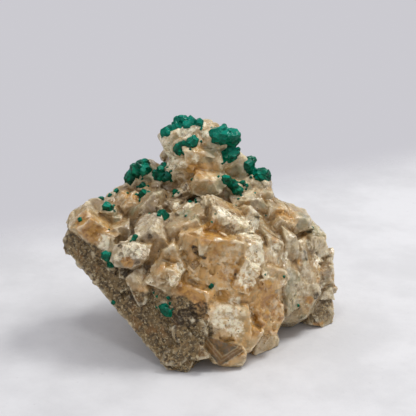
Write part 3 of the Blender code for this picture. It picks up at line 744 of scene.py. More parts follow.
# %% Wearing and bending the CAD rock
ROCK_VOXEL = 0.33  # mm
ROCK_ROOM = 3.5  # mm that the rock's block reaches past the CAD solid
ROCK_BAND = 3.0  # mm from the CAD rock up to which its distances are worked out
WORN_BAND = 4.0  # mm, the same where the surface is moved and moved back
NEAR_SURFACE = 2.8  # mm from the CAD rock up to which anything changes
WORN_EDGES = 0.12  # mm, radius of the edges that stand out
FILLED_CREASES = 0.25  # mm, radius of the creases
WARP_SIZE = 6.0  # mm between the bends that noise puts into straight edges
WARP_DEPTH = 0.2  # mm
WARP_SEED = 20


def rock_block():
    """An empty block of voxels with room for the rock."""
    low, high = rock_corners.min(0) - ROCK_ROOM, rock_corners.max(0) + ROCK_ROOM
    return Field(low, high, ROCK_VOXEL, ROCK_BAND)


cad_rock = rock_block().solid(rock_corners, rock_triangles, ROCK_BAND)
grid = np.stack(np.broadcast_arrays(*cad_rock.axes()), axis=-1).reshape(-1, 3)
near = np.flatnonzero(np.abs(cad_rock.values.reshape(-1)) < NEAR_SURFACE)
worn = cad_rock.like(cad_rock.values.copy())
worn.offset_and_back(FILLED_CREASES, WORN_BAND)
worn.offset_and_back(-WORN_EDGES, WORN_BAND)
bend = [field_noise(worn, WARP_SIZE, WARP_SEED + axis).reshape(-1)[near] for axis in range(3)]
rock = worn.like(worn.values.copy())
rock.values.reshape(-1)[near] = worn.at(grid[near] + WARP_DEPTH * np.stack(bend, axis=1))
skin = rock.skin()
print("voxels in the rock's block:", rock.values.size, "near its surface:", len(near))

# %% [markdown]
# Most faces of a broken piece aren't flat: they are made of facets that differ by a few
# degrees, one to each grain. Grains are points on the surface. Each voxel goes with the
# nearest, and takes its distance from that grain's own plane. The same is done again with
# smaller grains after the blocks are stamped.

# %% Facets of the grains
COARSE_FACETS = dict(count=900, reach=5.0, tilt=0.1, step=0.1, depth=0.15, stretch=1.8, seed=7)
FINE_FACETS = dict(count=5000, reach=3.0, tilt=0.13, step=0.04, depth=0.09, stretch=1.8, seed=8)
FACING_WEIGHT = 30.0  # mm squared that a grain loses to a voxel which faces away from it


def facings_of(values):
    """The way each voxel's distances rise: unit vectors, as three arrays."""
    rises = np.gradient(values)
    size = np.sqrt(sum(r * r for r in rises)) + 1e-6
    return [(r / size).astype(np.float32) for r in rises]


def facet(field, skin, count, reach, tilt, step, depth, stretch, seed):
    """Breaks the surface into flat faces, one to each of count grains scattered over it.

    Each voxel belongs to the grain whose middle m is nearest, on a scale that is stretched
    along the domain's own direction and that counts a grain as further off the more it
    faces another way. There the field is normal . (p - m) + level, where normal leans by
    tilt from the way the surface faces, and level is up to step. It may differ from the old
    field by depth at most, so no stray bits come loose.
    """
    rng = np.random.default_rng(seed)
    places, facings = scattered_on(*skin, rng, count)
    leans = facings + rng.normal(0, tilt, (count, 3))
    leans /= np.linalg.norm(leans, axis=1)[:, None]
    levels = rng.uniform(-step, step, count)
    long_ways = domain_turns(places)[:, :, 0]
    closest = np.full(field.values.shape, np.inf, np.float32)
    plane = field.values.copy()
    ways = facings_of(field.values)
    for place, facing, lean, level, long in zip(places, facings, leans, levels, long_ways):
        box = field.box_around(place, reach)
        x, y, z = field.axes(box)
        x, y, z = x - place[0], y - place[1], z - place[2]
        along = long[0] * x + long[1] * y + long[2] * z
        apart = x * x + y * y + z * z - (1 - stretch ** -2) * along * along
        apart -= FACING_WEIGHT * sum(f * way[box] for f, way in zip(facing, ways))
        nearer = apart < closest[box]
        closest[box] = np.where(nearer, apart, closest[box])
        flat = lean[0] * x + lean[1] * y + lean[2] * z + level
        plane[box] = np.where(nearer, flat, plane[box])
    field.values += np.clip(plane - field.values, -depth, depth)


facet(rock, skin, **COARSE_FACETS)
print("grains of the coarse facets:", COARSE_FACETS["count"])

# %% [markdown]
# Now the blocks. Each is sunk into the surface until only a little of it stands out, and a
# notch is the same block carved out. Most have one face nearly level with the rock around
# them, because a break follows the cleavage where it can. The places where the real lump
# is broken up small get more small blocks and notches.

# %% Stamping the blocks
ALIGNED_SHARE = 0.85  # of the blocks have one face nearly level with the rock around them
ALIGNED_TILT = 0.2  # how far such a face may lean from level
LARGE_BLOCKS = dict(count=140, halves=(1.3, 3.8), stands_out=(0.1, 0.32), seed=3)
LARGE_NOTCHES = dict(count=60, halves=(1.5, 3.6), stands_out=(0.1, 0.3), seed=4)
SMALL_BLOCKS = dict(count=380, halves=(0.5, 1.5), stands_out=(0.08, 0.22), seed=5)
SMALL_NOTCHES = dict(count=140, halves=(0.6, 1.6), stands_out=(0.08, 0.2), seed=6)
BROKEN_PLACES = [
    # middle and radius in mm of places that are broken up into small pieces
    (5.7, -23.1, 14.9, 5.5), (0.0, -19.5, 28.5, 6.0), (25.0, -8.0, 13.0, 6.5),
    (18.0, -16.0, 12.0, 5.5), (12.0, -19.0, 25.0, 5.5), (-19.0, -19.0, 31.5, 4.0),
    (33.0, 2.5, 19.0, 5.0), (11.0, -12.0, 36.5, 5.0),
]
BROKEN_BLOCKS = dict(count=34, halves=(0.5, 1.5), stands_out=(0.12, 0.4))
BROKEN_NOTCHES = dict(count=16, halves=(0.5, 1.4), stands_out=(0.15, 0.45))
BROKEN_BLOCK_SEED, BROKEN_NOTCH_SEED = 60, 80  # of the first place


def turned_onto(normals, facing):
    """Turns three cleavage normals the short way, so that the one nearest to facing meets it."""
    facing = facing / np.linalg.norm(facing)
    shares = normals @ facing
    best = np.argmax(np.abs(shares))
    start = normals[best] * np.sign(shares[best])
    turn = Vector(start).rotation_difference(Vector(facing)).to_matrix()
    return normals @ np.array(turn).T


def stamp_blocks(field, skin, add, count, halves, stands_out, seed):
    """Scatters cleavage blocks over the rock, each as deep in it as its stands_out allows.

    A block's own reach along the way the rock faces is the sum of |inverse normals . facing|
    times its half sizes, so its centre lies that far in, less what stands out.
    """
    rng = np.random.default_rng(seed)
    places, facings = scattered_on(*skin, rng, count)
    sizes = rng.uniform(*halves, (count, 3))
    proud = rng.uniform(*stands_out, count)
    level = rng.uniform(size=count) < (ALIGNED_SHARE if add else 1)
    leans = rng.normal(0, ALIGNED_TILT, (count, 3))
    rows = zip(places, facings, sizes, proud, level, leans, domain_turns(places))
    for place, facing, half, out, is_level, lean, turn in rows:
        normals = CLEAVAGE @ turn.T
        if is_level:
            normals = turned_onto(normals, facing + lean)
        reach = np.abs(np.linalg.inv(normals).T @ facing) @ half
        way = 1 if add else -1
        centre = place - way * facing * (reach - out)
        radius = np.linalg.norm(np.abs(np.linalg.inv(normals)) @ half)
        stamp(field, centre, *both_ways(normals, half), radius, add)


def near_place(skin, place, radius):
    """The part of a skin whose triangles start within a radius of a place."""
    corners, triangles = skin
    apart = ((corners[triangles[:, 0]] - place) ** 2).sum(1)
    return corners, triangles[apart < radius ** 2]


stamp_blocks(rock, skin, True, **LARGE_BLOCKS)
stamp_blocks(rock, skin, False, **LARGE_NOTCHES)
stamp_blocks(rock, skin, True, **SMALL_BLOCKS)
stamp_blocks(rock, skin, False, **SMALL_NOTCHES)
for i, (*place, radius) in enumerate(BROKEN_PLACES):
    broken_skin = near_place(skin, place, radius)
    stamp_blocks(rock, broken_skin, True, seed=BROKEN_BLOCK_SEED + i, **BROKEN_BLOCKS)
    stamp_blocks(rock, broken_skin, False, seed=BROKEN_NOTCH_SEED + i, **BROKEN_NOTCHES)
moved = np.abs(rock.values - cad_rock.values).reshape(-1)[near]
print("voxels that stamps and facets moved by over 0.1 mm:", int((moved > 0.1).sum()))

# %% [markdown]
# Stamps leave shallow creases. Cutting them in a little deeper makes each block read on its
# own, as dark joints do on the real lump. Fine facets and a faint grain then finish the
# surface.

# %% Creases, fine facets and grain
CREASE_REACH = 3  # voxels
CREASE_BAND = 1.5  # mm from the surface that counts
CREASE_DEPTH = 0.18  # mm
GRAINS = [(2.2, 0.02), (0.9, 0.02)]  # size and depth of the roughness, mm
GRAIN_SEED = 40


def cut_creases(field):
    """Adds field - its mean nearby, from 0 to the depth, which is over zero only in creases."""
    band = np.clip(field.values, -CREASE_BAND, CREASE_BAND)
    field.values += np.clip(band - softened(band, CREASE_REACH), 0, CREASE_DEPTH)


cut_creases(rock)
facet(rock, skin, **FINE_FACETS)
for i, (size, depth) in enumerate(GRAINS):
    rock.values += depth * field_noise(rock, size, GRAIN_SEED + i)
print("grains of the fine facets:", FINE_FACETS["count"])

# %% [markdown]
# Low on the front one face is clear and glassy, with a brown V in it. It is quite flat,
# which stamps at random wouldn't give. So a three-sided plate fills the rock behind that
# face, and another clears it in front. With that the low relief is done, and whatever has
# strayed too far from the CAD rock is brought back.

# %% A clear face with a V
CLEAR_APEX = np.array([5.0, -25.7, 4.3])  # mm, on the face, where the arms of the V meet
CLEAR_FACING = np.array([0.03, -0.96, 0.27]) / np.linalg.norm([0.03, -0.96, 0.27])
CLEAR_LEVEL = np.cross((0, 0, 1), CLEAR_FACING)
CLEAR_ACROSS = CLEAR_LEVEL / np.linalg.norm(CLEAR_LEVEL)
CLEAR_UP = np.cross(CLEAR_FACING, CLEAR_ACROSS)
CLEAR_EDGES = [
    # way across, way up, reach in mm
    (-0.79, -0.62, 2.4), (0.54, -0.84, 2.1), (0.40, 0.92, 3.9),
]
CLEAR_DEPTH = 3.0  # mm filled behind the face, and cleared before it
CLEAR_SPAN = 11.0  # mm, radius of a ball around either plate
MOST_RISE = 0.42  # mm that anything may stand out of the CAD rock
MOST_CUT = 0.8  # mm that anything may be cut into it


def clear_face_planes(way):
    """A three-sided plate on the face's back (way -1) or front (way 1)."""
    sides = [across * CLEAR_ACROSS + up * CLEAR_UP for across, up, _ in CLEAR_EDGES]
    reaches = [reach for _, _, reach in CLEAR_EDGES]
    normals = np.array([*sides, way * CLEAR_FACING, -way * CLEAR_FACING])
    return normals, np.array([*reaches, CLEAR_DEPTH, 0.0])


for add, way in ((True, -1), (False, 1)):
    stamp(rock, CLEAR_APEX, *clear_face_planes(way), CLEAR_SPAN, add)
rock.values = np.clip(rock.values, cad_rock.values - MOST_RISE, cad_rock.values + MOST_CUT)
print("the clear face's edges lie", [reach for _, _, reach in CLEAR_EDGES], "mm from the V's apex")

# %% [markdown]
# Two hollows from either side met in the middle and left a gap right through the lump, so a
# block closes each. Last, the host rock at the lower left is grainy where calcite is flat:
# noise in three sizes roughens it, and its zone's mask keeps that noise to its own place.

# %% Closed gaps, and the host rock's grain
FILLED_GAPS = [
    # place and half size in mm of blocks that close a gap
    (28.6, 8.0, 29.4, 2.2), (13.0, 10.4, 44.1, 1.6),
]
HOST_GRAINS = [(3.2, 0.3), (1.4, 0.16), (0.7, 0.1)]  # size and depth in mm
HOST_SEED = 50

for *place, half in FILLED_GAPS:
    stamp(rock, np.array(place), *both_ways(CLEAVAGE, np.full(3, half)), 2 * half)
host = np.zeros(rock.values.size, np.float32)
host[near] = zone_mask(grid[near], ZONES["host"])
host = host.reshape(rock.values.shape)
for i, (size, depth) in enumerate(HOST_GRAINS):
    rock.values += depth * host * field_noise(rock, size, HOST_SEED + i)
host_near = host.reshape(-1)[near] > 0.5
print(f"host rock in {100 * host_near.mean():.1f} % of the voxels near the surface")

# %% [markdown]
# The crystals stand 0.3 mm off the CAD rock, so that the two solids don't touch. Here the
# rock closes that gap. Near a crystal it is filled up to a lip, and nothing that was
# stamped rises over that lip. The base stays flat, and the whole stays in the CAD box.

# %% Seating the crystals and trimming the rock
LIP_REACH = 0.35  # mm from the crystals to the lip's edge
LIP_FALL = 0.4  # mm below the CAD rock where a lip ends
CLEAR_REACH = 0.5  # mm around the crystals where nothing rises over the lip
LARGE_CLUSTER = 9.2  # mm
SEATS = {"small": (0.45, 1.2), "large": (0.9, 2.2)}  # mm, rise of the lip over the CAD rock, width
BOX_MARGIN = 0.03  # mm


def seat(field, names, rise, width):
    """Raises the rock to a lip around some clusters that falls off over a width.

    The lip is the CAD rock's distance - rise * s + LIP_FALL * (1 - s), where s eases from 1
    at the crystals to 0 at the lip's outer edge.
    """
    crystals = rock_block().solid(*corners_and_triangles(names), ROCK_BAND)
    share = np.clip(1 - (crystals.values - LIP_REACH) / width, 0, 1)
    share = share * share * (3 - 2 * share)
    lip = cad_rock.values - rise * share + LIP_FALL * (1 - share)
    field.values = np.where(share > 0, np.minimum(field.values, lip), field.values)
    top = np.minimum(cad_rock.values - rise, CLEAR_REACH - crystals.values)
    field.values = np.maximum(field.values, top)


def keep_in_box(field):
    """Cuts away whatever lies outside the CAD model's box, less a margin."""
    for axis, line in enumerate(field.axes()):
        low, high = cad_low[axis] / MM + BOX_MARGIN, cad_high[axis] / MM - BOX_MARGIN
        field.values = np.maximum(field.values, np.maximum(low - line, line - high))


longest = {name: np.ptp(corners_and_triangles([name])[0], axis=0).max() for name in clusters}
for size, (rise, width) in SEATS.items():
    names = [name for name in clusters if (longest[name] > LARGE_CLUSTER) == (size == "large")]
    seat(rock, names, rise, width)
    print(size, "clusters seated:", len(names))
keep_in_box(rock)

# %% [markdown]
# ## The rock's mesh
#
# The surface comes out of the field as one small face to each voxel that it crosses. Crumbs
# that the noise cut loose are left out. The rest goes into a mesh as whole arrays.

# %% The rock's surface, without crumbs
def largest_part(corners, triangles, quads):
    """Leaves out all but the largest connected part.

    Each corner takes the smallest number among its neighbours', over and over, so that in
    the end all corners of a part have the same number.
    """
    label = np.arange(len(corners))
    sides = [triangles[:, [0, 1]], triangles[:, [1, 2]]]
    sides += [quads[:, [0, 1]], quads[:, [1, 2]], quads[:, [2, 3]]]
    ends = np.concatenate(sides).astype(np.int64)
    while True:
        least = np.minimum(label[ends[:, 0]], label[ends[:, 1]])
        before = label.copy()
        np.minimum.at(label, ends[:, 0], least)
        np.minimum.at(label, ends[:, 1], least)
        label = label[label]
        if (label == before).all():
            break
    kept = label == np.bincount(label).argmax()
    number = np.cumsum(kept) - 1
    print("corners of loose bits left out:", int((~kept).sum()))
    return corners[kept], number[triangles[kept[triangles[:, 0]]]], number[quads[kept[quads[:, 0]]]]


def mesh_from(name, corners, triangles, quads):
    """A mesh in metres from corners in millimetres and faces as arrays of corner numbers."""
    mesh = bpy.data.meshes.new(name)
    loops = np.concatenate([triangles.reshape(-1), quads.reshape(-1)]).astype(np.int32)
    sides = np.concatenate([np.full(len(triangles), 3), np.full(len(quads), 4)])
    mesh.vertices.add(len(corners))
    mesh.vertices.foreach_set("co", (corners * MM).astype(np.float32).reshape(-1))
    mesh.loops.add(len(loops))
    mesh.loops.foreach_set("vertex_index", loops)
    mesh.polygons.add(len(sides))
    starts = np.concatenate([[0], np.cumsum(sides)[:-1]]).astype(np.int32)
    mesh.polygons.foreach_set("loop_start", starts)
    mesh.update(calc_edges=True)
    mesh.validate()
    return mesh


def corners_of(mesh):
    """A mesh's corners in millimetres, as an array."""
    places = np.empty(3 * len(mesh.vertices), np.float32)
    mesh.vertices.foreach_get("co", places)
    return places.reshape(-1, 3) / MM


full_mesh = mesh_from("calcite_rock", *largest_part(*rock.surface()))
print("the rock's surface:", len(full_mesh.vertices), "corners,", len(full_mesh.polygons), "faces")

# %% [markdown]
# Many of those faces lie on flat facets, where fewer would do. Decimate merges the edges
# that matter least. Broken calcite has hard edges, so faces that meet at more than 20
# degrees show one, and the rest are shaded smoothly.

# %% The rock's piece
ROCK_TRIANGLES = 190000
SHARP_ANGLE = math.radians(20)


def thinned(mesh, most):
    """Merges the shortest and flattest edges until at most that many triangles are left."""
    mesh.calc_loop_triangles()
    carrier = bpy.data.objects.new("carrier", mesh)
    bpy.context.scene.collection.objects.link(carrier)
    carrier.modifiers.new("fewer", "DECIMATE").ratio = min(1.0, most / len(mesh.loop_triangles))
    graph = bpy.context.evaluated_depsgraph_get()
    fewer = bpy.data.meshes.new_from_object(carrier.evaluated_get(graph))
    name = mesh.name
    bpy.data.meshes.remove(mesh)
    fewer.name = name
    return fewer


def piece_from(mesh, slot, *nodes):
    """A piece of the specimen at the origin, which rides on the one body and replaces nodes."""
    piece = bpy.data.objects.new(mesh.name, mesh)
    bpy.context.scene.collection.objects.link(piece)
    mesh.shade_smooth()
    mesh.set_sharp_from_angle(angle=SHARP_ANGLE)
    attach(piece, "root")
    if nodes:
        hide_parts(*nodes)
    return piece


rock_mesh = thinned(full_mesh, ROCK_TRIANGLES)
corners = corners_of(rock_mesh)
piece_from(rock_mesh, "calcite", ROCK)
print("the rock's piece:", len(corners), "corners,", len(rock_mesh.polygons), "faces")

# %% [markdown]
# Brown goes into the creases, as dirt and as painted shade. Edges are painted cream, as wear
# and as painted highlight. Hollows are painted darker than what stands out, as shade, and
# each face is painted lighter or darker by the way it looks, as light would fall on it. The
# rock's own shape says where those are: where it stands out, the field's mean around a
# corner is over zero. The mesh carries such masks at its corners, where the material can
# read them, and one more for each zone.

# %% What the rock's surface knows about its own shape
EDGE_REACH = 2  # voxels
EDGE_GAIN = 3  # how steeply the masks of edges and creases rise
SWELL_REACH = 5  # voxels
SWELL_ENDS = [5, 95]  # percentiles of the corners' swell that become 0 and 1
BULGE_BAND = 1.5  # reaches from the surface that counts
FACE_WAVES = [((6.2, -2.1, 3.3), (0.10, 0.02, -0.07)), ((-3.0, 5.4, 4.1), (-0.05, 0.06, 0.11))]


def carry(mesh, name, values):
    """Stores one number for each corner of a mesh, which a material can read."""
    mask = mesh.attributes.new(name, "FLOAT", "POINT")
    mask.data.foreach_set("value", values.astype(np.float32))


def bulge(field, corners, reach):
    """How far a surface stands out: the field's mean around each corner, over the reach."""
    limit = BULGE_BAND * reach * field.voxel
    rounded = field.like(softened(np.clip(field.values, -limit, limit), reach, rounds=2))
    return rounded.at(corners) / (reach * field.voxel)


def painted_face_light(field, corners):
    """Painted light by the way a face looks: mean of 0.5 + 0.5 * sin(a . n + b . p) over the waves a, b,
    nearly even on a flat face.

    n is the way that the field rises at a corner, and p the corner's place in millimetres.
    """
    ways = np.stack([field.like(way).at(corners) for way in facings_of(field.values)], axis=1)
    waves = [np.sin(ways @ np.array(a) + corners @ np.array(b)) for a, b in FACE_WAVES]
    return 0.5 + 0.5 * sum(waves) / len(waves)


swell = bulge(rock, corners, SWELL_REACH)
low, high = np.percentile(swell, SWELL_ENDS)
edge = bulge(rock, corners, EDGE_REACH)
# swell gives painted shade in the hollows, edge the cream that is wear and painted highlight, crease the
# brown that is dirt and painted shade, and face painted light by facing
carry(rock_mesh, "swell", np.clip((swell - low) / (high - low), 0, 1))
carry(rock_mesh, "edge", np.clip(edge * EDGE_GAIN, 0, 1))
carry(rock_mesh, "crease", np.clip(-edge * EDGE_GAIN, 0, 1))
carry(rock_mesh, "face", painted_face_light(cad_rock, corners))
print("swell, 5th and 95th of 100:", low.round(2), high.round(2))
print("edge, 5th and 95th of 100:", np.percentile(edge, SWELL_ENDS).round(2))

# %% Zones on the rock's mesh
for name, rows in ZONES.items():
    share = zone_mask(corners, rows)
    carry(rock_mesh, name, share)
    print(f"{name}: {len(rows)} balls, {100 * (share > 0.5).mean():.1f} % of the surface")

# %% [markdown]
# ## The finish of calcite
#
# The real lump changes every few millimetres: pale blocks and honey-coloured ones, frosted
# bruises, smoky hollows, rust in the cracks. One noise from tan to brown would look like
# painted plaster. So colour is laid on in the order in which the rock came by it, and the
# tone of each block and chip comes first. Painted light goes in with it: each face lighter
# or darker by the way it looks, hollows and creases darker as shade, cream on edges and
# bruises as highlight, and a smoky grey that is partly shade.

# %% Calcite's ground: blocks, faces and splits
CALCITE_TONES = {
    "tan": (177, 155, 113),
    "beige": (205, 188, 151),
    "cream": (248, 237, 206),
    "golden": (218, 168, 92),
    "honey": (196, 146, 70),
    "amber": (158, 108, 44),
    "grey green": (148, 144, 112),
    # smoke-grey, and partly painted shade
    "smoky_and_shade": (132, 110, 80),
    "brown": (54, 40, 20),
    "host dark": (80, 65, 43),
    "host mid": (144, 120, 80),
    "host light": (204, 188, 150),
    "rust": (140, 100, 52),
    "fleck": (168, 118, 62),
    "glass": (92, 76, 46),
    # painted shade, multiplied into the hollows
    "hollow shade": (214, 186, 148),
}
SPLITS = (4.5, 0.8)  # mm, the patches that share a direction, and the pitch of the splits
tone = {name: colour(*rgb) for name, rgb in CALCITE_TONES.items()}


def calcite_ground(finish):
    """Tan to beige, made lighter or darker by block, chip and split, by painted light on each face, and
    by painted shade in the hollows.
    """
    finish.paint = finish.blend(finish.patches(5.0, 0.35, 0.65, detail=5), tone["tan"], tone["beige"])
    wandering = finish.strayed()
    block = finish.ramp(finish.cells(3.4, "Color", wandering), 0.2, 0.8, 0.82, 1.08)
    chip = finish.ramp(finish.cells(1.0, "Color", wandering), 0.2, 0.8, 0.92, 1.05)
    finish.lay(1.0, block, "MULTIPLY")
    # painted light: each face lighter or darker by the way it looks
    finish.lay(1.0, finish.ramp(finish.mask("face"), 0.2, 0.8, 0.78, 1.06), "MULTIPLY")
    # painted shade: hollows made darker than what stands out
    finish.lay(finish.ramp(finish.mask("swell"), 0.1, 0.6, 0.75, 0.0), tone["hollow shade"], "MULTIPLY")
    finish.lay(1.0, chip, "MULTIPLY")
    split = finish.ramp(finish.layers(*SPLITS), 0.0, 1.0, 0.8, 1.08)
    finish.lay(finish.patches(3.2, 0.4, 0.6, 0.1, 0.9), split, "MULTIPLY")


print("calcite is layered from", len(CALCITE_TONES), "tones")

# %% [markdown]
# Iron stains run through the whole lump, and bruises turn it cream. Over those the zones
# add their own colours. The smoky zone's grey is partly painted shade, the white zone's
# cream partly painted highlight, and faces that look one way get a painted cream sheen. A
# ball's edge would show as a spot, so noise tears each border, and more noise leaves some of
# the ground showing inside.

# %% Calcite's stains and bruises
SCATTERED_STAINS = [
    # tone, size in mm, low and high of the noise, most share, its detail, roughness, distortion
    ("honey", 6.0, 0.5, 0.66, 0.38, 5, 0.55, 0.4),
    ("cream", 1.8, 0.52, 0.66, 0.55, 7, 0.72, 0.3),
    ("fleck", 1.2, 0.54, 0.6, 0.5, 7, 0.75, 0.0),
]


def calcite_stains(finish):
    """Honey, cream and brown flecks anywhere, then each zone's own colour where it is, with painted
    shade in the smoky zone, painted highlight in the white one and a painted sheen on some faces.
    """
    for name, size, low, high, most, detail, roughness, distortion in SCATTERED_STAINS:
        share = finish.patches(size, low, high, 0.0, most, detail=detail, roughness=roughness,
                               distortion=distortion)
        finish.lay(share, tone[name])

    # smoke-grey, and painted shade, where the smoky zone lies
    smoke_and_shade = finish.patches(2.6, 0.3, 0.6, 0.4, 1.0, detail=6)
    finish.lay(finish.times(finish.mask("smoky_and_shade"), smoke_and_shade), tone["smoky_and_shade"])
    warmth = finish.patches(2.6, 0.4, 0.58, 0.25, 1.0, detail=6, roughness=0.6)
    finish.lay(finish.times(finish.mask("golden"), warmth), tone["golden"])
    down = finish.drawn_out((0, -20, 0), 0.3)
    smear = finish.patches(1.3, 0.35, 0.6, 0.3, 0.85, detail=5, place=down)
    finish.lay(finish.times(finish.zone("grey_green", 2.2), smear), tone["grey green"])
    iron = finish.blend(finish.patches(1.4, 0.4, 0.62, detail=5), tone["honey"], tone["amber"])
    finish.lay(finish.times(finish.zone("honey", 2.0), 0.85), iron)
    # cream frost of bruises, and painted highlight, in the white zone
    frost_and_highlight = finish.patches(1.3, 0.42, 0.56, 0.05, 1.0, detail=7, roughness=0.75)
    finish.lay(finish.times(finish.zone("white", 1.3), frost_and_highlight), tone["cream"])
    # painted sheen: cream on faces that look one way
    pale = finish.patches(1.5, 0.42, 0.62, 0.0, 0.45, detail=7, roughness=0.7)
    finish.lay(finish.times(finish.ramp(finish.mask("face"), 0.62, 0.78), pale), tone["cream"])


print("scattered stains:", [row[0] for row in SCATTERED_STAINS])

# %% [markdown]
# The host rock is a mass of dark and light grains under a millimetre wide, so random cells
# give its colour, and patches of grey, rust and pale grain lie over them. Last come umber
# stains, cream on the edges, which is wear and painted highlight, and brown in the creases,
# which is dirt and painted shade.

# %% The host rock, wear, dirt and painted light
HOST_PATCHES = [
    # tone, size in mm, low and high of the noise, most share, its detail and roughness
    ("host mid", 3.0, 0.45, 0.7, 0.6, 5, 0.55),
    ("rust", 4.2, 0.54, 0.64, 0.6, 6, 0.65),
    ("host light", 0.7, 0.55, 0.62, 0.95, 5, 0.75),
]


def host_rock(finish):
    """Lays on the grainy host rock, and gives back its share."""
    grains = finish.ramp(finish.cells(0.6, "Color"), 0.3, 0.75)
    grainy = finish.blend(grains, tone["host dark"], tone["host mid"])
    for name, size, low, high, most, detail, roughness in HOST_PATCHES:
        share = finish.patches(size, low, high, 0.0, most, detail=detail, roughness=roughness)
        grainy = finish.blend(share, grainy, tone[name])
    share = finish.zone("host", 2.4, 0.36, 0.56)
    finish.lay(share, grainy)
    return share


def wear_dirt_and_painted_light(finish):
    """Umber stains, cream edges that are wear and painted highlight, and brown creases that are dirt and
    painted shade; gives back the umber's share.
    """
    blotches = finish.patches(0.9, 0.35, 0.6, 0.25, 0.95, detail=6)
    umber = finish.times(finish.zone("brown", 1.1), blotches)
    finish.lay(umber, tone["brown"])
    # cream on the edges that stand out: pale wear, and painted highlight
    edges = finish.ramp(finish.mask("edge"), 0.35, 1.0)
    finish.lay(finish.times(edges, finish.patches(2.4, 0.4, 0.6, 0.05, 0.5, detail=5)), tone["cream"])
    # brown in the creases: dirt, and painted shade
    dirt_and_crease_shade = finish.patches(1.5, 0.3, 0.7, 0.05, 0.45)
    finish.lay(finish.times(finish.mask("crease"), dirt_and_crease_shade), tone["brown"])
    return umber


print("patches on the host rock:", [row[0] for row in HOST_PATCHES])

# %% [markdown]
# The V in the clear face is a growth mark: bands of rust that follow its two lower edges.
# The distance out from those edges' directions gives the bands, as it gives contour lines
# on a map, and a little noise makes them waver.

# %% The clear face's glass and its V
VEE_BANDS = [
    # start, end and tone, as shares of the way from the apex to the face's edge
    (0.0, 0.16, "tan"), (0.16, 0.4, "rust"), (0.4, 0.5, "tan"), (0.5, 0.64, "rust"),
    (0.92, 1.1, "beige"),
]
VEE_STRENGTH = 0.6
VEE_SOFTNESS = 0.08
VEE_WAVER = 0.3


def clear_face_share(finish):
    """Distance out from the V's two arms, as a share of the way to the clear face's edge.

    It is the larger of (p - apex) . way / reach over the two arms: 0 between them, 1 at the edge.
    """
    out = finish.vector("SUBTRACT", finish.place, tuple(CLEAR_APEX * MM))
    shares = []
    for across, up, reach in CLEAR_EDGES[:2]:
        way = (across * CLEAR_ACROSS + up * CLEAR_UP) / (reach * MM)
        shares.append(finish.vector("DOT_PRODUCT", out, tuple(way)))
    return finish.maths("MAXIMUM", *shares)


def clear_face(finish):
    """Lays brown glass on the clear face, with the V's bands in it."""
    waver = finish.times(finish.maths("SUBTRACT", finish.noise(0.9, detail=5), 0.5), VEE_WAVER)
    out = finish.maths("ADD", clear_face_share(finish), waver)
    cloud = finish.patches(1.5, 0.35, 0.65, 0.0, 0.5, detail=5)
    glass = finish.blend(cloud, tone["glass"], tone["amber"])
    for start, end, name in VEE_BANDS:
        begun = finish.ramp(out, start - VEE_SOFTNESS, start + VEE_SOFTNESS)
        going_on = finish.ramp(out, end - VEE_SOFTNESS, end + VEE_SOFTNESS, 1, 0)
        band = finish.times(finish.times(begun, going_on), VEE_STRENGTH)
        glass = finish.blend(band, glass, tone[name])
    share = finish.times(finish.zone("glass", 1.5, 0.3, 0.5, 0.2), finish.ramp(out, 0.98, 1.1, 1, 0))
    finish.lay(share, glass)


print("bands of the V:", len(VEE_BANDS))

# %% [markdown]
# Colour alone leaves the rock dull. Real calcite lets light in a little way, so some of it
# scatters under the surface. Clean breaks are glossy in patches, and the host rock, the umber
# stains and the creases aren't. Relief too fine for the mesh goes in as bumps: grain, splits,
# and cells whose normals are turned at random, so that a few of them flash.

# %% Calcite as a whole
def calcite_finish():
    """All of calcite's layers, how light goes into it, and how it glances off."""
    finish = Finish("calcite")
    calcite_ground(finish)
    calcite_stains(finish)
    host_share = host_rock(finish)
    umber = wear_dirt_and_painted_light(finish)
    clear_face(finish)
    # dark brown dots: painted shade of small pits that the mesh doesn't have
    painted_pit_shade = finish.ramp(finish.cells(1.9), 0.07, 0.11, 1.0, 0.0)
    finish.lay(finish.times(painted_pit_shade, finish.patches(4.0, 0.5, 0.56)), tone["brown"])

    dull = finish.maths("MAXIMUM", finish.maths("MAXIMUM", host_share, umber), finish.mask("crease"))
    glossy = finish.patches(2.6, 0.42, 0.6, 0.0, 0.75, detail=4)
    relief = finish.glitter((1.9, 0.28), (0.7, 0.24))
    relief = finish.bump(finish.noise(0.7, detail=4, roughness=0.6), 0.13, Normal=relief)
    host_grain = finish.times(finish.noise(0.5, detail=5, roughness=0.7), host_share)
    relief = finish.bump(host_grain, 0.35, Normal=relief)
    relief = finish.bump(finish.layers(*SPLITS), 0.09, Normal=relief)
    return finish.finished(
        Subsurface_Weight=0.42, Subsurface_Radius=(1.0, 0.82, 0.56), Subsurface_Scale=0.9 * MM,
        Roughness=finish.patches(1.6, 0.38, 0.6, 0.12, 0.5, detail=4), IOR=1.6, Specular_IOR_Level=0.25,
        Coat_Weight=finish.times(glossy, finish.ramp(dull, 0, 1, 1, 0)), Coat_Roughness=0.07,
        Coat_IOR=1.66, Normal=relief, Coat_Normal=relief)


rock_mesh.materials.append(calcite_finish())
print("nodes in calcite's finish:", len(rock_mesh.materials[0].node_tree.nodes))

# %% [markdown]
# ## The finish of dioptase
#
# Dioptase is a clear crystal of a very deep green: light goes in and comes back out dark,
# save where a face is frosted or a veil lies under it. Glass that is all clear would show
# the rock behind and lose its colour at this size. So most of it is a deep green body, each
# crystal of its own strength, with a share of plain transmission and turned facets. Faces
# that look up, and the top of the crown, are painted a paler green: painted light from above.

# %% The green of dioptase
DIOPTASE_TONES = {
    "deep": (0, 76, 54),
    "clear": (0, 121, 87),
    # painted light on faces that look up
    "painted top light": (10, 148, 124),
    # painted light on the top of the crown
    "crown": (0, 150, 128),
}
# painted light: between these heights the crystals are painted paler
CROWN_LIGHT_HEIGHTS = (54 * MM, 59 * MM)  # where the crystals turn paler


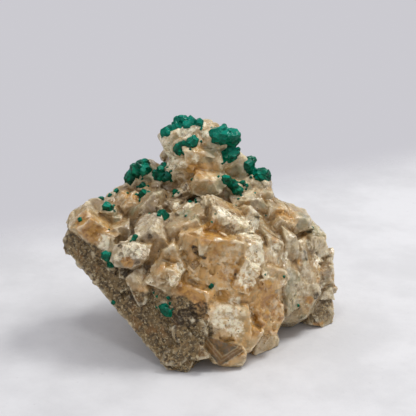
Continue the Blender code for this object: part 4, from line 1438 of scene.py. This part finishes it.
def dioptase_finish():
    """Deep to clear green by cloud and crystal, with painted light: paler on faces that look up and
    towards the top of the crown.
    """
    finish = Finish("dioptase")
    green_of = {name: colour(*rgb) for name, rgb in DIOPTASE_TONES.items()}
    cloud = finish.patches(1.2, 0.35, 0.65, detail=5)
    finish.paint = finish.blend(cloud, green_of["deep"], green_of["clear"])
    finish.lay(1.0, finish.ramp(finish.cells(1.6, "Color"), 0.2, 0.8, 0.55, 1.1), "MULTIPLY")
    # painted light: faces that look up are painted a paler green
    normal = finish.add("ShaderNodeNewGeometry").outputs["Normal"]
    level = finish.ramp(finish.add("ShaderNodeSeparateXYZ", Vector=normal).outputs["Z"], 0.2, 0.9)
    finish.lay(finish.times(level, finish.patches(2.6, 0.4, 0.6, 0.1, 0.75)), green_of["painted top light"])
    # painted light: paler towards the top of the crown
    height = finish.add("ShaderNodeSeparateXYZ", Vector=finish.place).outputs["Z"]
    finish.lay(finish.ramp(height, *CROWN_LIGHT_HEIGHTS, 0.0, 0.4), green_of["crown"])
    relief = finish.bump(finish.noise(0.5), 0.06, Normal=finish.glitter((0.8, 0.6)))
    return finish.finished(Transmission_Weight=0.2, IOR=1.67, Specular_IOR_Level=0.02,
                           Roughness=0.2, Normal=relief)


green = dioptase_finish()
print("nodes in dioptase's finish:", len(green.node_tree.nodes))

# %% [markdown]
# ## The dioptase
#
# Each cluster starts from its CAD solid, whose faces are real crystal faces. Smaller
# crystals are stamped over it, leaning out from it, and a few of the smallest grow on the
# rock at its foot. All of a cluster is one field, so what has grown together is one skin.

# %% A crystal as twelve planes
END_TILT = math.radians(51)  # of an end face's normal, from the crystal's axis
CRYSTAL_BAND = 0.8  # mm
CRYSTAL_LENGTH = (2.6, 3.6)  # in radii
CRYSTAL_LEAN = 0.35  # how far an axis strays from the way the surface faces
CORNER_REACH = 1.16  # radii from the axis to a corner, a little over 1 / cos(30 degrees)


def crystal_planes(radius, length):
    """Six sides at 60 degrees, and three faces on each end over every other side."""
    around = np.radians(np.arange(0, 360, 60))
    sides = np.stack([np.cos(around), np.sin(around), np.zeros(6)], axis=1)
    ends = np.stack([np.sin(END_TILT) * np.cos(around), np.sin(END_TILT) * np.sin(around),
                     np.cos(END_TILT) * np.tile([1, -1], 3)], axis=1)
    end_reach = length / 2 * np.cos(END_TILT)
    return np.concatenate([sides, ends]), np.array([radius] * 6 + [end_reach] * 6)


def frame_along(axis, spin):
    """A rotation that takes Z to an axis, after a spin about Z."""
    turn = Vector(axis).to_track_quat("Z", "Y").to_matrix() @ Matrix.Rotation(spin, 3, "Z")
    return np.array(turn)


def grow(field, rng, places, facings, radii, stands_out):
    """Stamps crystals whose tips stand out of a surface by the given heights."""
    for place, facing in zip(places, facings):
        axis = facing + rng.normal(0, CRYSTAL_LEAN, 3)
        axis /= np.linalg.norm(axis)
        radius = rng.uniform(*radii)
        length = radius * rng.uniform(*CRYSTAL_LENGTH)
        normals, reaches = crystal_planes(radius, length)
        turn = frame_along(axis, rng.uniform(0, math.pi))
        centre = place + axis * (rng.uniform(*stands_out) - length / 2)
        span = math.hypot(radius * CORNER_REACH, length / 2)
        stamp(field, centre, normals @ turn.T, reaches, span)


print("faces of a crystal:", len(crystal_planes(1.0, 3.0)[0]))

# %% [markdown]
# A cluster's own crystals have large plain faces, where the real ones are grown over by
# others. So crystals are scattered over the solid where it is clear of the rock, and a few
# more where the rock passes close by. Last, the whole is trimmed to the CAD box.

# %% Growing the clusters
CRYSTAL_VOXEL = 0.13  # mm
CRYSTAL_MERGE = 0.01  # how readily flat faces are merged, from 0 to 1
OVER_CLUSTER = dict(per_mm2=0.15, radii=(0.5, 1.2), stands_out=(0.08, 0.35))
AT_FOOT = dict(count=3, radii=(0.4, 0.7), stands_out=(0.25, 0.45))
CLUSTER_ROOM = 2.0  # mm that a cluster's block reaches past its solid
CLUSTER_SEED = 100
OVER_ROCK = 0.4  # mm that a crystal's place has to be clear of the rock
FOOT_ROOM = 1.5  # mm past the solid where its foot is looked for
FOOT_APART, FOOT_SPREAD = 0.4, 0.35  # mm from the solid to the foot, give or take


def cluster_piece(name, seed):
    """One cluster: the CAD solid's crystals, smaller ones over them, the smallest at their foot."""
    rng = np.random.default_rng(seed)
    solid_corners, solid_triangles = corners_and_triangles([name])
    low, high = solid_corners.min(0), solid_corners.max(0)
    field = Field(low - CLUSTER_ROOM, high + CLUSTER_ROOM, CRYSTAL_VOXEL, CRYSTAL_BAND)
    field.solid(solid_corners, solid_triangles, CRYSTAL_BAND)
    a, b, c = (solid_corners[solid_triangles[:, i]] for i in range(3))
    area = np.linalg.norm(np.cross(b - a, c - a), axis=1).sum() / 2
    count = int(area * OVER_CLUSTER["per_mm2"])
    places, facings = scattered_on(solid_corners, solid_triangles, rng, count)
    clear = rock.at(places) > OVER_ROCK
    sizes = OVER_CLUSTER["radii"], OVER_CLUSTER["stands_out"]
    grow(field, rng, places[clear], facings[clear], *sizes)
    beside = (corners > low - FOOT_ROOM).all(1) & (corners < high + FOOT_ROOM).all(1)
    foot = np.flatnonzero(beside)
    foot = foot[np.abs(field.at(corners[foot]) - FOOT_APART) < FOOT_SPREAD]
    if len(foot):
        picked = rng.choice(foot, min(AT_FOOT["count"], len(foot)), replace=False)
        sizes = AT_FOOT["radii"], AT_FOOT["stands_out"]
        grow(field, rng, corners[picked], rock_facings[picked], *sizes)
    keep_in_box(field)
    mesh = mesh_from(name + "_crystals", *field.surface(merge=CRYSTAL_MERGE))
    mesh.materials.append(green)
    piece_from(mesh, "dioptase", name)
    return mesh


rock_facings = np.empty(3 * len(rock_mesh.vertices), np.float32)
rock_mesh.vertices.foreach_get("normal", rock_facings)
rock_facings = rock_facings.reshape(-1, 3)
total = 0
for i, name in enumerate(clusters):
    mesh = cluster_piece(name, CLUSTER_SEED + i)
    mesh.calc_loop_triangles()
    total += len(mesh.loop_triangles)
print("dioptase triangles:", total)

# %% [markdown]
# ## Specks
#
# Single crystals a millimetre long sit all over the lump. Each grows from the nearest point
# of the rock, in a little field of its own whose voxels suit its size. They make one piece
# together.

# %% Growing the specks
SPECKS = [
    # place in mm, radius in mm
    (2.1, -20.2, 22.8, 0.7), (-3.5, 3.3, 45.2, 0.5), (31.7, 7.0, 29.5, 0.45),
    (22.1, -13.2, 22.7, 0.55), (27.1, -6.5, 10.8, 0.6), (10.1, 1.5, 40.1, 0.4),
    (1.9, -14.8, 39.3, 0.4), (-28.6, 0.3, 40.6, 0.9), (-27.0, 4.4, 40.0, 0.9), (-25.0, 4.8, 41.4, 0.9),
    (-34.9, -7.7, 38.7, 0.8), (-25.5, -15.9, 15.7, 0.7), (-12.5, -20.8, 20.1, 0.5),
    (-9.8, -21.6, 20.1, 0.55), (-13.6, -20.3, 20.7, 0.35), (5.0, 1.3, 45.6, 0.8),
    (11.9, 5.5, 42.6, 0.6), (-15.0, -7.3, 39.1, 0.35), (-5.0, -10.5, 39.7, 0.35),
    (7.9, 2.2, 43.8, 0.6), (-21.7, 2.8, 41.2, 0.4), (-4.0, -2.0, 41.1, 0.6), (9.0, 0.5, 38.7, 0.35),
    (14.8, 4.1, 41.3, 0.35), (3.0, -13.7, 41.2, 0.3),
]
STRAY_SPECKS = 14  # more of them, anywhere on the upper rock
STRAY_RADII = (0.25, 0.4)
STRAY_LOWEST = 20.0  # mm
SPECK_VOXEL = 0.2  # of a speck's radius
SPECK_ROOM = 4  # radii around a speck's foot
SPECK_STANDS_OUT = (0.6, 1.1)  # radii
SPECK_SEED = 77


def specks_piece():
    """A hexagonal crystal for each row, each from a little field of its own."""
    rng = np.random.default_rng(SPECK_SEED)
    rows = [(np.array(row[:3]), row[3]) for row in SPECKS]
    high = np.flatnonzero((corners[:, 2] > STRAY_LOWEST) & (rock_facings[:, 2] > 0))
    strays = rng.choice(high, STRAY_SPECKS, replace=False)
    rows += [(corners[i], rng.uniform(*STRAY_RADII)) for i in strays]
    parts, count = [], 0
    for place, radius in rows:
        nearest = np.argmin(((corners - place) ** 2).sum(1))
        foot, facing = corners[nearest], rock_facings[nearest]
        room = SPECK_ROOM * radius
        field = Field(foot - room, foot + room, SPECK_VOXEL * radius, CRYSTAL_BAND)
        low, high = SPECK_STANDS_OUT
        grow(field, rng, [foot], [facing], (radius, radius), (low * radius, high * radius))
        places, triangles, quads = field.surface()
        parts.append((places, triangles.astype(int) + count, quads.astype(int) + count))
        count += len(places)
    mesh = mesh_from("dioptase_specks", *(np.concatenate(part) for part in zip(*parts)))
    piece_from(mesh, "dioptase").data.materials.append(green)
    print("specks:", len(rows), "with", len(mesh.vertices), "corners")


specks_piece()

# %% [markdown]
# ## Measuring
#
# The dressed specimen is measured in the same way as the imported model, and both boxes
# are printed in millimetres. The dressed specimen has to fit in the box of the imported
# model.

# %% Measuring
bpy.context.view_layer.update()
low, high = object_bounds()
print("visual box in mm:", [round(1000 * v, 2) for v in [*low, *high]])
